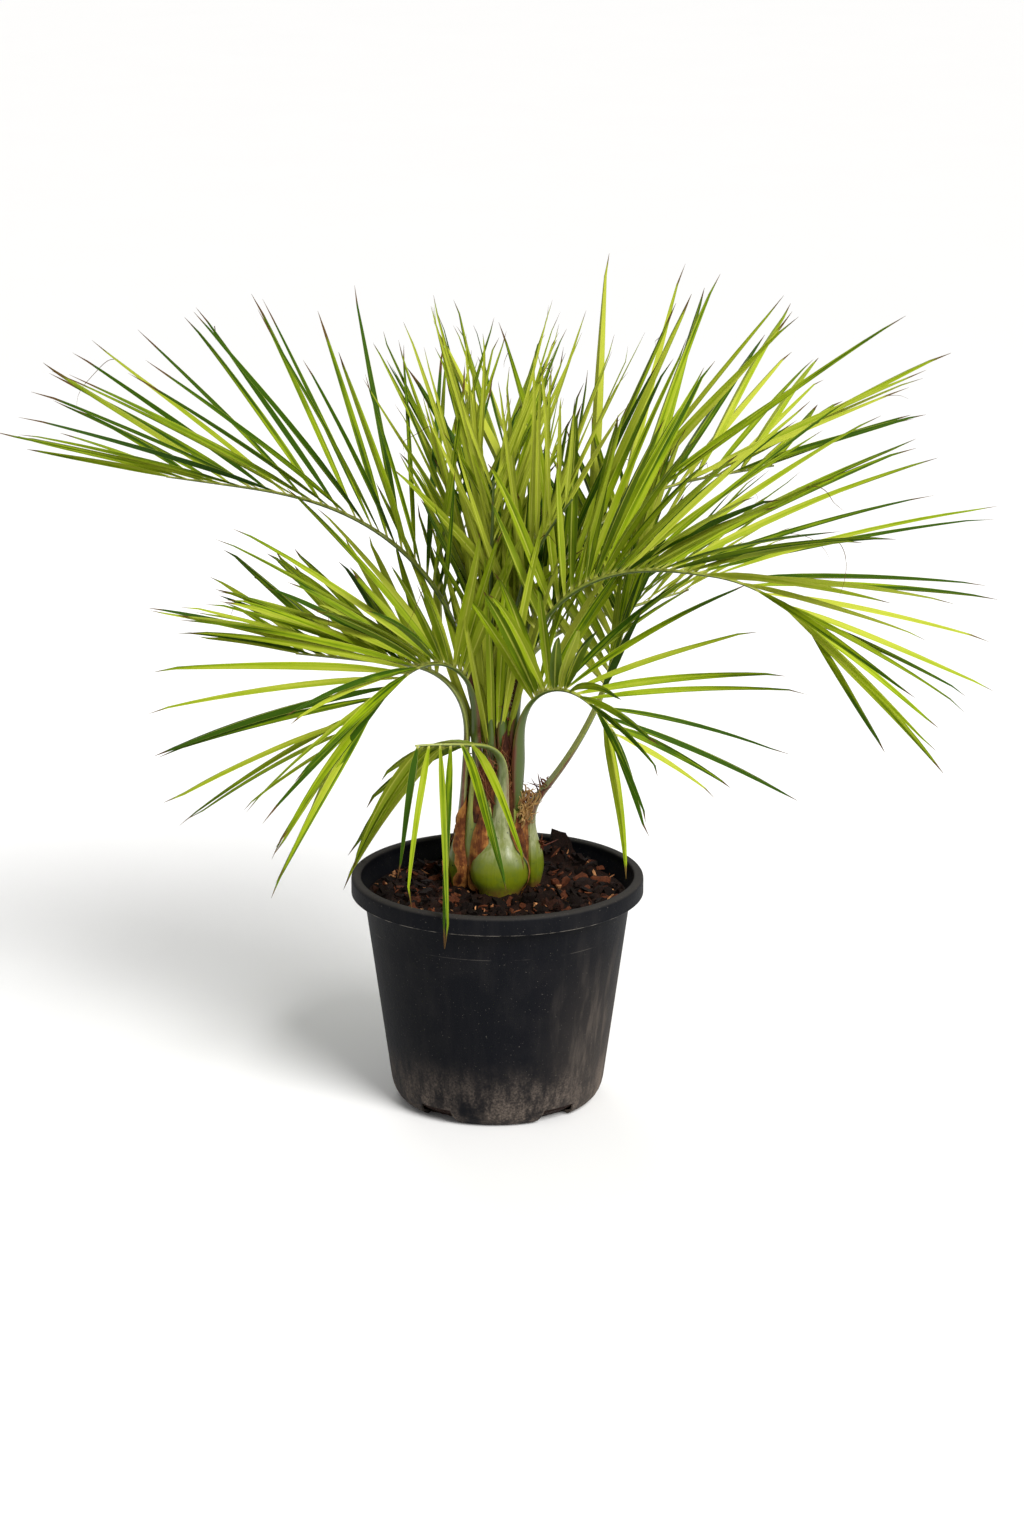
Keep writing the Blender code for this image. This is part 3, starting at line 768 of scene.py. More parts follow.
@dataclass(frozen=True)
class NurseryPot:
    """Thin-walled turned pot with a rolled rim and five drain slots."""

    height: float = 240.0
    rim_radius: float = 150.0
    rim_band: float = 19.0
    rim_width: float = 10.0
    rim_rounding: float = 4.2
    lip_rounding: float = 2.4
    rim_edge: float = 0.9
    ledge: float = 8.0
    wall: float = 2.5
    floor: float = 3.0
    floor_radius: float = 91.0
    neck_radius: float = 137.3
    side: Points = ((92.0, 0.0), (96.5, 1.2), (101.0, 4.0), (104.6, 7.8), (107.0, 12.0),
                    (108.8, 16.8), (110.0, 22.0), (111.0, 28.5), (112.0, 36.0))
    crease: float = 38.0
    steps: int = 168
    slots: int = 5
    first_slot: float = -54.0
    slot_width: float = 36.0
    slot_flare: float = 1.25
    slot_height: float = 16.5
    slot_reach: float = 84.0
    slot_rounding: float = 1.6

    def profile(self) -> list[tuple[float, float]]:
        """Return the wall's outline, from the axis under the floor round to the axis above it.

        Returns:
            The points, as (radius, height).
        """
        top, rim, soft, lip = self.height, self.rim_radius, self.rim_rounding, self.lip_rounding
        seam = top - self.rim_band
        ledge = seam + self.ledge
        mouth = rim - self.rim_width
        hollow = top - self.wall - 1.0
        arc = [math.radians(angle) for angle in (0, 22.5, 45, 67.5, 90)]
        outer = [(rim - soft + soft * math.cos(angle), top - soft + soft * math.sin(angle))
                 for angle in arc]
        inner = [(mouth + lip - lip * math.sin(angle), top - lip + lip * math.cos(angle))
                 for angle in arc]
        foot_radius, foot_height = self.side[-1]
        wall = [(mix(foot_radius, self.neck_radius, share), mix(foot_height, seam, share))
                for share in (0.2, 0.4, 0.6, 0.8, 1.0)]
        inside = [(radius - self.wall, z) for radius, z in (*self.side[3:], *wall)]
        return [(0.0, 0.0), *self.side, *wall, (mouth + self.wall, ledge),
                (mouth + self.wall, hollow), (rim - self.wall, hollow), (rim - self.wall, seam),
                (rim - self.rim_edge, seam), (rim, seam + self.rim_edge),
                (rim, mix(seam, top - soft, 0.5)), *outer, *inner, (mouth, mix(ledge, top, 0.4)),
                (mouth, ledge + 0.5), *reversed(inside), (self.floor_radius, self.floor),
                (0.0, self.floor)]

    def build(self, material: bpy.types.Material) -> None:
        """Build and dress the pot.

        Args:
            material: its plastic.
        """
        piece = Piece()
        piece.spin(self.profile(), self.steps)
        item = piece.finish("pot_shell", [material], "pot_plastic", ["pot"], crease=self.crease)
        cutter = self.build_cutter()
        cut = item.modifiers.new("Slots", "BOOLEAN")
        cut.operation = "DIFFERENCE"
        cut.solver = "EXACT"
        cut.object = cutter
        apply_modifiers(item)
        bpy.data.objects.remove(cutter, do_unlink=True)
        item.data.shade_smooth()
        item.data.set_sharp_from_angle(angle=math.radians(self.crease))

    def build_cutter(self) -> bpy.types.Object:
        """Build what cuts the drain slots, each narrower at its top.

        Returns:
            The cutter, one block to a slot.
        """
        bm = bmesh.new()
        for i in range(self.slots):
            verts = bmesh.ops.create_cube(bm, size=1.0)["verts"]
            for vert in verts:
                high = vert.co.z > 0.0
                vert.co.x = mix(self.slot_reach, self.neck_radius, vert.co.x + 0.5)
                vert.co.y *= self.slot_width * (1.0 if high else self.slot_flare)
                vert.co.z = self.slot_height if high else -self.floor
            angle = math.radians(self.first_slot + 360.0 / self.slots * i)
            placed = Matrix.Rotation(angle, 4, "Z") @ Matrix.Scale(MM, 4)
            bmesh.ops.transform(bm, verts=verts, matrix=placed)
        uprights = [edge for edge in bm.edges
                    if abs(edge.verts[0].co.z - edge.verts[1].co.z) > self.slot_height * MM * 0.9]
        bmesh.ops.bevel(bm, geom=uprights, offset=self.slot_rounding * MM, segments=3, profile=0.5,
                        affect="EDGES", material=-1)
        return make_object("slot cutter", bm)


# The soil


@dataclass(frozen=True)
class BarkSoil:
    """Coarse bark mix: a lumpy top with a heap at the right and back, strewn with chips."""

    level: float = 219.0
    roughness: float = 3.2
    heap: float = 17.0
    heap_place: tuple[float, float] = (64.0, 96.0)
    heap_spread: float = 36.0
    edge_drop: float = 2.0
    edge_radius: float = 133.6
    edge_band: float = 9.0
    foot: float = 3.4
    side: Points = ((90.4, 3.4), (103.9, 12.6), (106.9, 22.6), (108.9, 36.6))
    steps: int = 120
    rings: int = 46
    crumbs: Points = ((0.13, 4.0), (0.34, 2.0))
    bed_kind: float = 0.22
    chips: int = 860
    chip_size: tuple[float, float] = (2.8, 10.0)
    large_chips: int = 64
    large_size: tuple[float, float] = (9.0, 15.0)
    chunk_size: float = 20.0
    slivers: int = 120
    sliver_shape: tuple[float, float, float] = (1.0, 0.20, 0.16)
    kinds: tuple[float, ...] = (0.0, 0.03, 0.06, 0.10, 0.16, 0.26, 0.42, 0.64)
    pale_kinds: tuple[float, float] = (0.66, 1.05)
    pale_share: float = 0.12
    pale_below: float = 6.5
    tumble: float = 0.6
    squareness: float = 0.62
    seed: int = 40

    def height(self, x: float, y: float) -> float:
        """Return the level of the mix at a place.

        Args:
            x: the place to the right of the axis.
            y: the place behind it.

        Returns:
            The level, in millimetres.
        """
        lumps = (math.sin(x * 0.13 + 1.3) * math.cos(y * 0.11) + math.sin(x * 0.07 - y * 0.16)
                 + 0.7 * math.sin(x * 0.19 + y * 0.17 + 0.6)) / 2.0
        away = math.dist((x, y), self.heap_place) / self.heap_spread
        return self.level + self.roughness * lumps + self.heap * math.exp(-away * away)

    def build(self, material: bpy.types.Material, bases: Sequence[tuple[Vector, float]]) -> None:
        """Build and dress the soil.

        Args:
            material: its material.
            bases: the place and radius of each leaf base, which the chips keep off.
        """
        piece = Piece()
        edge_level = self.level - self.edge_drop
        top = [(self.edge_radius * (1.0 - i / self.rings), edge_level) for i in range(self.rings)]
        piece.spin([(0.0, self.foot), *self.side, *top, (0.0, self.level)], self.steps)
        for vert in piece.bm.verts:
            point = vert.co / MM
            if point.z > edge_level - 0.1:
                inward = ease(self.edge_radius - math.hypot(point.x, point.y), 0.0, self.edge_band)
                crumbs = sum(noise.noise(point * scale) * size for scale, size in self.crumbs)
                level = self.height(point.x, point.y) + crumbs - 1.0
                vert.co.z = mix(point.z, level, inward) * MM
        piece.paint(piece.bm.verts, (self.bed_kind, 0.0, 0.0))
        rng = random.Random(self.seed)
        for index in range(self.chips + self.slivers):
            self.add_chip(piece, bases, index, rng)
        piece.finish("bark_bed", [material], "bark_mix", ["soil"], crease=42.0)

    def add_chip(self, piece: Piece, bases: Sequence[tuple[Vector, float]], index: int,
                 rng: random.Random) -> None:
        """Drop one chip, if its place is free: the chunk in the heap comes first, slivers last.

        Args:
            piece: the mesh that takes it.
            bases: the place and radius of each leaf base.
            index: its number.
            rng: the seeded draw.
        """
        is_large = index < self.large_chips
        is_thin = index >= self.chips
        out = (self.edge_radius - 5.0) * math.sqrt(rng.random())
        spot = turn(rng.uniform(0, 360)) * out
        if is_large:
            size = rng.uniform(*self.large_size)
        else:
            size = mix(*self.chip_size, rng.random() ** 2.0)
        if index == 0:
            spot = Vector((*self.heap_place, 0.0))
            size = self.chunk_size
        if any((spot - base).length < radius + size * 0.3 for base, radius in bases):
            return
        if out + size * 0.7 > self.edge_radius - 1.0:
            return
        kind = rng.choice(self.kinds)
        if is_thin or (not is_large and size < self.pale_below and rng.random() < self.pale_share):
            kind = rng.uniform(*self.pale_kinds)
        flat = Vector((1.0, rng.uniform(0.45, 0.8), rng.uniform(0.28, 0.5))) * size
        if is_thin:
            flat = Vector(self.sliver_shape) * size
        spot.z = self.height(spot.x, spot.y) + size * rng.uniform(-0.05, 0.22) + is_thin * 1.5
        spin = (Matrix.Rotation(rng.uniform(0, math.tau), 4, "Z")
                @ Matrix.Rotation(rng.gauss(0, self.tumble), 4, "X")
                @ Matrix.Rotation(rng.gauss(0, self.tumble), 4, "Y"))
        verts = bmesh.ops.create_icosphere(piece.bm, subdivisions=2 if is_large else 1,
                                           radius=0.62)["verts"]
        for vert in verts:
            rough = 1.0 + noise.noise(vert.co * 2.6 + Vector((index, 0, 0))) * 0.9
            square = Vector([math.copysign(abs(part) ** self.squareness, part)
                             for part in vert.co])
            shaped = Vector([part * reach * rough for part, reach in zip(square, flat)])
            vert.co = (spot + spin @ shaped) * MM
        piece.paint(verts, (kind, 0.0, 0.0))


# The plan of the leaves, which the solid parts follow too


@dataclass(frozen=True)
class Leaf:
    """One feather leaf: where its foot stands, how its stalk arches, how its leaflets sit.

    Attributes:
        name: its name.
        turn: its number in the spiral, from the oldest.
        seat: how far its foot stands aside from the spiral.
        stray: how far its stalk heads aside from the spiral.
        foot: how far its foot stands from the plant's axis.
        floor: how high its foot stands.
        bulb: how wide its bulb is, or 0 for a slim inner base.
        lean: how far the stalk leans out at its foot.
        arch: how much further it leans past its bend.
        bend: the lengths along it between which it bends.
        nod: how much further its tip bends down.
        sweep: how far its tip swings aside.
        length: how long the stalk and rib are.
        bare: how much of that bears no leaflets.
        blade: how long its longest leaflets are.
        pairs: how many pairs of leaflets it has.
        vee: how far they rise above the rib's plane, at its foot and at its tip.
        spread: how far they stand away from the rib, at its foot and at its tip.
        droop: how much they sag.
        age: how old it is, or the painted shade of its leaflets.
        row: where it bears leaflets between the main ones.
    """

    name: str
    turn: int
    seat: float
    stray: float
    foot: float
    floor: float
    bulb: float
    lean: float
    arch: float
    bend: tuple[float, float]
    nod: float
    sweep: float
    length: float
    bare: float
    blade: float
    pairs: int
    vee: tuple[float, float]
    spread: tuple[float, float]
    droop: float
    age: AgeAndShade
    row: Row


BASE = 211.0
SHOULDER = 303.0
SOCKET = 333.0

LEAVES = (
    Leaf("low_front", 0, 43, -10, 32, BASE, 61, -4, 85, (125, 190),
         8, -32, 254, 184, 192, 6, (-14, -58), (84, 70), 0.7, AgeAndShade.OLD, Row.OPEN),
    Leaf("thorny", 1, -4, 6, 39, BASE, 38, -3, 48, (60, 112),
         -36, 60, 390, 228, 215, 12, (52, 52), (58, 24), 0.1, AgeAndShade.OLD, Row.OPEN),
    Leaf("old_left", 2, 34, 8, 36, BASE, 41, -3, 93, (155, 290),
         0, 0, 400, 240, 212, 11, (48, 45), (58, 26), 0.2, AgeAndShade.OLD, Row.LOWER),
    Leaf("low_right", 3, 36, 36, 27, SHOULDER, 0, 2, 134, (58, 236),
         0, 0, 244, 122, 232, 10, (60, 10), (64, 40), 0.25, AgeAndShade.GROWN, Row.LOWER),
    Leaf("mid_back", 4, -1, -35, 37, BASE, 30, -5, 88, (120, 345),
         0, 0, 455, 245, 240, 13, (55, 55), (58, 24), 0.08, AgeAndShade.SHADED, Row.LOWER),
    Leaf("low_left", 5, 0, 0, 18, SOCKET, 0, 2, 133, (60, 215),
         0, 0, 280, 105, 275, 13, (58, 8), (60, 34), 0.2, AgeAndShade.GROWN, Row.LOWER),
    Leaf("mid_right", 6, 0, 0, 16.8, SOCKET, 0, 4, 90, (50, 370),
         50, 0, 505, 160, 312, 19, (58, 12), (58, 26), 0.14, AgeAndShade.GROWN, Row.LOWER),
    Leaf("back_left", 7, 6, -6, 36, BASE, 30, -5, 52, (150, 480),
         0, 0, 485, 265, 200, 12, (50, 50), (56, 24), 0.06, AgeAndShade.SHADED, Row.LOWER),
    Leaf("front_up", 8, 0, 16, 15.5, SOCKET, 0, 1, 33, (80, 370),
         0, 0, 345, 54, 285, 15, (46, 46), (14, 28), 0.03, AgeAndShade.NEW, Row.OPEN),
    Leaf("high_right", 9, 0, 0, 14, SOCKET, 0, 5, 84, (20, 460),
         0, 0, 520, 145, 308, 19, (60, 34), (56, 28), 0.06, AgeAndShade.GROWN, Row.OPEN),
    Leaf("high_left", 10, 0, 0, 12.3, SOCKET, 0, 4, 80, (25, 455),
         0, 0, 515, 160, 305, 19, (60, 26), (56, 26), 0.08, AgeAndShade.DEEP, Row.OPEN),
    Leaf("up_right", 11, 0, -8, 10.4, SOCKET, 0, 3, 46, (40, 370),
         0, 0, 360, 72, 255, 15, (52, 52), (17, 26), 0.04, AgeAndShade.NEW, Row.OPEN),
    Leaf("back", 12, 0, 0, 8.1, SOCKET, 0, 3, 62, (40, 390),
         0, 0, 410, 130, 225, 14, (52, 52), (36, 24), 0.05, AgeAndShade.SHADED, Row.OPEN),
    Leaf("spear", 13, 0, 0, 4.7, SOCKET, 0, 1, 8, (0, 300),
         0, 0, 325, 90, 205, 6, (70, 70), (10, 5), 0.0, AgeAndShade.NEW, Row.OPEN),
)


class Stalk:
    """The curve of one leaf's stalk, its size along the way and its skin."""

    axis = Vector((-3.0, 32.0, 0.0))
    first_heading = 237.0
    golden_angle = 137.5
    walk_step = 2.0
    joint_step = 27.0
    rachis_sink = 8.0
    bulb_height = 36.0
    bulb_shape = ((0.0, 0.56), (0.32, 0.76), (0.62, 0.96), (1.0, 0.98), (1.35, 0.78), (1.7, 0.48),
                  (2.3, 0.33))
    fine_shape = (*bulb_shape[:4], (1.35, 0.82), (1.7, 0.58), (2.3, 0.40), (3.2, 0.29))
    bulb_slimness = 0.74
    bulb_twist = 110.0
    stalk_slimness = 0.8
    slim_widths = (16.0, 28.0)
    inner_width = 10.5
    flare = 0.26
    flare_places = (26.0, 56.0, 104.0)
    rachis_width = 7.5
    tip_width = 2.4
    channel_start = (60.0, 110.0)
    channel_fade = 60.0
    bloom_start = (34.0, 64.0)
    bloom_end = (84.0, 164.0)
    margin_start = (66.0, 86.0)
    margin_fade = 40.0
    swell_end = (52.0, 112.0)
    bulb_rings = (0.34, 80.0)
    columns, bulb_columns = 60, 72
    sides, wide_sides = 14, 20
    wide_bulb = 50.0

    def __init__(self, leaf: Leaf) -> None:
        """Walk the stalk from its foot, leaning and arching as the leaf's values say.

        Args:
            leaf: the leaf.
        """
        self.leaf = leaf
        spiral = self.first_heading + self.golden_angle * leaf.turn
        point = self.axis + turn(spiral + leaf.seat) * leaf.foot + up(leaf.floor)
        self.heading = spiral + leaf.stray
        self.points = [point]
        for i in range(int(leaf.length / self.walk_step)):
            point = point + self.aim((i + 0.5) * self.walk_step) * self.walk_step
            self.points.append(point)
        start = leaf.bare - self.rachis_sink
        count = round((leaf.length - start) / self.joint_step)
        self.joints = [mix(start, leaf.length, i / count) for i in range(count + 1)]
        tail = [(leaf.bare, self.rachis_width), (leaf.length, self.tip_width)]
        self.widths = [*self.foot_widths(self.bulb_shape), *tail]
        self.fine_widths = [*self.foot_widths(self.fine_shape), *self.sheath_widths(), *tail]

    def foot_widths(self, bulb: Points) -> list[tuple[float, float]]:
        """Return the widths up the foot: those of a bulb, or the plain one of an inner leaf.

        Args:
            bulb: a bulb's outline, in shares of its height and its width.

        Returns:
            The widths, by length along the stalk.
        """
        if not self.leaf.bulb:
            return [(0.0, self.inner_width)]
        return [(part * self.bulb_height, self.leaf.bulb * share) for part, share in bulb]

    def sheath_widths(self) -> list[tuple[float, float]]:
        """Return the widths up the flared sheath that an inner leaf has above its foot.

        Returns:
            The widths, by length along the stalk; none where it has a bulb.
        """
        leaf = self.leaf
        if leaf.bulb:
            return []
        low, middle, high = self.flare_places
        flare = leaf.foot * self.flare
        widths = [(low, self.inner_width + flare * 0.7), (middle, self.inner_width + flare)]
        if leaf.bare > high + 20.0:
            widths.append((high, self.inner_width + flare * 0.3))
        return [pair for pair in widths if pair[0] < leaf.bare - 10.0]

    def angles(self, place: float) -> tuple[float, float]:
        """Return the tilt in radians and the heading in degrees at a length along the stalk.

        Args:
            place: the length along the stalk.

        Returns:
            The tilt from upright and the heading.
        """
        leaf = self.leaf
        start, end = leaf.bend
        tilt = leaf.lean + leaf.arch * ease(place, start, end)
        tilt += leaf.nod * max(0.0, place - end) / max(1.0, leaf.length - end)
        twist = (leaf.seat - leaf.stray) * (1.0 - ease(place, 0.0, self.bulb_twist))
        return math.radians(tilt), self.heading + twist + leaf.sweep * (place / leaf.length) ** 2

    def aim(self, place: float) -> Vector:
        """Return the direction of the stalk."""
        tilt, heading = self.angles(place)
        return turn(heading) * math.sin(tilt) + up(math.cos(tilt))

    def upper(self, place: float) -> Vector:
        """Return the direction that the stalk's upper side faces."""
        tilt, heading = self.angles(place)
        return turn(heading) * -math.cos(tilt) + up(math.sin(tilt))

    def at(self, place: float) -> Vector:
        """Return the point at a length along the stalk."""
        spot = min(max(place / self.walk_step, 0.0), len(self.points) - 1.001)
        return self.points[int(spot)].lerp(self.points[int(spot) + 1], spot % 1.0)

    def chord(self, place: float) -> Vector:
        """Return the point on the straight run between two joints of the solid stalk.

        Args:
            place: the length along the stalk.

        Returns:
            The point, in millimetres.
        """
        for start, end in zip(self.joints, self.joints[1:]):
            if place <= end:
                break
        return self.at(start).lerp(self.at(end), (place - start) / (end - start))

    def width(self, place: float) -> float:
        """Return the solid stalk's width at a length along it."""
        return read_profile(self.widths, place)

    def slimness(self, width: float) -> float:
        """Return how deep the stalk is for its width."""
        return mix(self.stalk_slimness, self.bulb_slimness, ease(width, *self.slim_widths))

    def ring(self, place: float, sides: int, grow: float) -> list[Vector]:
        """Return a ring of points round the solid stalk.

        Args:
            place: the length along the stalk.
            sides: how many points it has.
            grow: how far they stand off the surface.

        Returns:
            The points, in millimetres.
        """
        side, upper = self.aim(place).cross(self.upper(place)), self.upper(place)
        width = self.width(place)
        half, deep = width / 2.0 + grow, width * self.slimness(width) / 2.0 + grow
        angles = [math.tau * (i + 0.5) / sides for i in range(sides)]
        return [self.at(place) + side * (half * math.cos(angle)) + upper * (deep * math.sin(angle))
                for angle in angles]

    def block(self, bm: bmesh.types.BMesh, grow: float) -> None:
        """Add the grown outline of the stalk that leaflets keep clear of.

        Args:
            bm: the mesh that takes it.
            grow: how far it stands off the surface.
        """
        places = [place for place, _ in self.foot_widths(self.bulb_shape)]
        start = places[-1]
        count = max(2, round((self.leaf.bare - start) / self.joint_step))
        places += [mix(start, self.leaf.bare, (i + 1) / count) for i in range(count)]
        sides = 8 if self.leaf.bulb else 6
        skin_rings(bm, [self.ring(place, sides, grow) for place in places])
        skin_rings(bm, [self.ring(place, 4, grow) for place in self.joints])

    def skin(self, place: float, around: float, grow: float = 0.0) -> Vector:
        """Return a point of the fine stalk: an oval base, then a channel along the upper side.

        Args:
            place: length along the stalk.
            around: share of the way round, from the underside.
            grow: how far the point stands off the surface.

        Returns:
            The point in millimetres.
        """
        angle = math.tau * (around - 0.25)
        width = read_curve(self.fine_widths, place)
        half, deep = width / 2.0 + grow, width * self.slimness(width) / 2.0 + grow
        across, lift = half * math.cos(angle), deep * math.sin(angle)
        if lift > 0.0:
            channel = ease(place, *self.channel_start) if self.leaf.bulb else 1.0
            channel *= 1.0 - ease(place - self.leaf.bare, 0.0, self.channel_fade)
            lift *= mix(1.0, 0.38 + 0.36 * math.cos(angle) ** 2, channel)
        side = self.aim(place).cross(self.upper(place))
        return self.at(place) + side * across + self.upper(place) * lift

    def tone(self, place: float, around: float) -> Colour:
        """Return how much bloom, dry margin and swollen base a point of the skin shows.

        Args:
            place: the length along the stalk.
            around: the share of the way round, from the underside.

        Returns:
            The three shares.
        """
        leaf = self.leaf
        edge = abs(math.cos(math.tau * (around - 0.25)))
        if leaf.bulb:
            bloom = ease(place, *self.bloom_start) * (1.0 - ease(place, *self.bloom_end) * 0.85)
            dry = ease(edge, 0.93, 0.99) * ease(place, *self.margin_start)
            swell = 1.0 - ease(place, *self.swell_end)
        else:
            bloom, dry, swell = 0.0, ease(edge, 0.90, 0.98), 0.0
        dry *= 1.0 - ease(place - leaf.bare * 0.62, 0.0, self.margin_fade)
        return bloom, dry, swell

    def build(self, piece: Piece, slot: int) -> None:
        """Add the fine stalk to a piece, with its rings closer together up a bulb.

        Args:
            piece: the mesh that takes it.
            slot: its material.
        """
        leaf = self.leaf
        spacing = [(0.0, 0.0), *([self.bulb_rings] if leaf.bulb else []), (1.0, leaf.length)]
        columns = self.bulb_columns if leaf.bulb else self.columns
        sides = self.wide_sides if leaf.bulb > self.wide_bulb else self.sides

        def place(along: float, around: float) -> Vector:
            """Return a point of the skin."""
            return self.skin(read_profile(spacing, along), around)

        def tone(along: float, around: float) -> Colour:
            """Return the tone of the skin."""
            return self.tone(read_profile(spacing, along), around)

        piece.tube(columns, sides, place, tone, pointed=False, slot=slot)


def skin_rings(bm: bmesh.types.BMesh, rings: Sequence[Sequence[Vector]],
               tip: Vector | None = None) -> None:
    """Bridge rings of points into a closed outline for clearance tests.

    Args:
        bm: the mesh that takes it.
        rings: rings of points in millimetres, all of one count.
        tip: the point at the far end, if there is one.
    """
    loops = [[bm.verts.new(point) for point in ring] for ring in rings]
    if tip is not None:
        loops.append([bm.verts.new(tip)] * len(loops[0]))
    for lower, upper in zip(loops, loops[1:]):
        for i, vert in enumerate(lower):
            after = (i + 1) % len(lower)
            corners = dict.fromkeys((vert, lower[after], upper[after], upper[i]))
            bm.faces.new(list(corners))


@dataclass(frozen=True)
class Blade:
    """One leaflet on a sagging curve: a folded strap that tapers to a thread."""

    root: Vector
    aim: Vector
    edge: Vector
    length: float
    width: float
    sag: float
    seed: int

    keel = 1.9
    plain_outline = ((0.0, 0.28), (0.3, 1.0), (0.66, 0.66))
    outline = ((0.0, 0.28), (0.05, 0.42), (0.14, 0.80), (0.30, 1.0), (0.50, 0.91), (0.70, 0.68),
               (0.86, 0.42), (0.95, 0.20), (1.0, 0.03))
    section = ((-1.0, 0.0), (-0.5, 0.56), (0.0, 1.0), (0.5, 0.56), (1.0, 0.0), (0.0, 0.62))
    columns = 11
    straight_fall = 26.0
    twist = 30.0
    bow = 0.018
    folds = (0.34, 0.62)
    curl = 2.0
    curl_start = 0.9
    least_depth = 0.7
    mouth_reach = 127.3
    soil_top = 229.0
    rim_top = 245.0
    rim_reach = 155.0

    def at(self, share: float) -> Vector:
        """Return the point a share of the way along the blade."""
        fall = up(-self.sag * share * share / 2.0)
        return self.root + (self.aim * share + fall) * self.length

    def block(self, bm: bmesh.types.BMesh, grow: float = 0.0) -> None:
        """Add the blade's plain outline, as the solid leaf has it.

        Args:
            bm: the mesh that takes it.
            grow: how far it stands off the surface.
        """
        back = self.aim.cross(self.edge).normalized()
        sags = self.sag * self.length > self.straight_fall
        rings = []
        for share, spread in self.plain_outline[:3 if sags else 2]:
            half = self.width * spread / 2.0 + grow
            keel = self.keel * mix(spread, 1.0, 0.4) + grow
            middle = self.at(share)
            rings.append([middle - self.edge * half - back * grow,
                          middle + self.edge * half - back * grow, middle + back * keel])
        skin_rings(bm, rings, self.at(1.0))

    def clears_pot(self) -> bool:
        """Tell whether the blade keeps off the soil, the rim and the pot's wall.

        Returns:
            Whether every point past its foot does.
        """
        for i in range(2, 11):
            point = self.at(i / 10.0)
            reach = math.hypot(point.x, point.y)
            is_inside = reach < self.mouth_reach and point.z > self.soil_top
            if not (point.z > self.rim_top or reach > self.rim_reach or is_inside):
                return False
        return True

    def build(self, piece: Piece, tone: Colour, breadth: float, slot: int) -> None:
        """Add the fine blade to a piece: two folded halves above, a ribbed back below.

        Args:
            piece: the mesh that takes it.
            tone: its tone.
            breadth: how wide it is beside the solid blade.
            slot: its material.
        """
        rng = random.Random(self.seed)
        twist = math.radians(rng.gauss(0, self.twist))
        bow = rng.uniform(-self.bow, self.bow) * self.length
        curl = Vector((rng.gauss(0, 1), rng.gauss(0, 1), rng.uniform(-1.6, 0.6))) * self.curl
        fold = rng.uniform(*self.folds)
        sides = len(self.section)

        def place(along: float, around: float) -> Vector:
            """Return a point of the blade.

            Args:
                along: the share of its length.
                around: the share of the way round.

            Returns:
                The point, in millimetres.
            """
            across, lift = self.section[round(around * sides) % sides]
            spin = Matrix.Rotation(twist * along * along, 3, self.aim)
            edge = spin @ self.edge
            back = self.aim.cross(edge).normalized()
            half = self.width * breadth / 2.0 * read_curve(self.outline, along)
            depth = max(half * 2.0 * fold, self.least_depth * min(1.0, half))
            middle = self.at(along) + edge * (bow * math.sin(math.pi * along) * along)
            middle += curl * max(0.0, (along - self.curl_start) * 10.0) ** 2
            return middle + edge * half * across + back * (depth * lift)

        piece.tube(self.columns, sides, place, lambda along, around: tone, slot=slot)


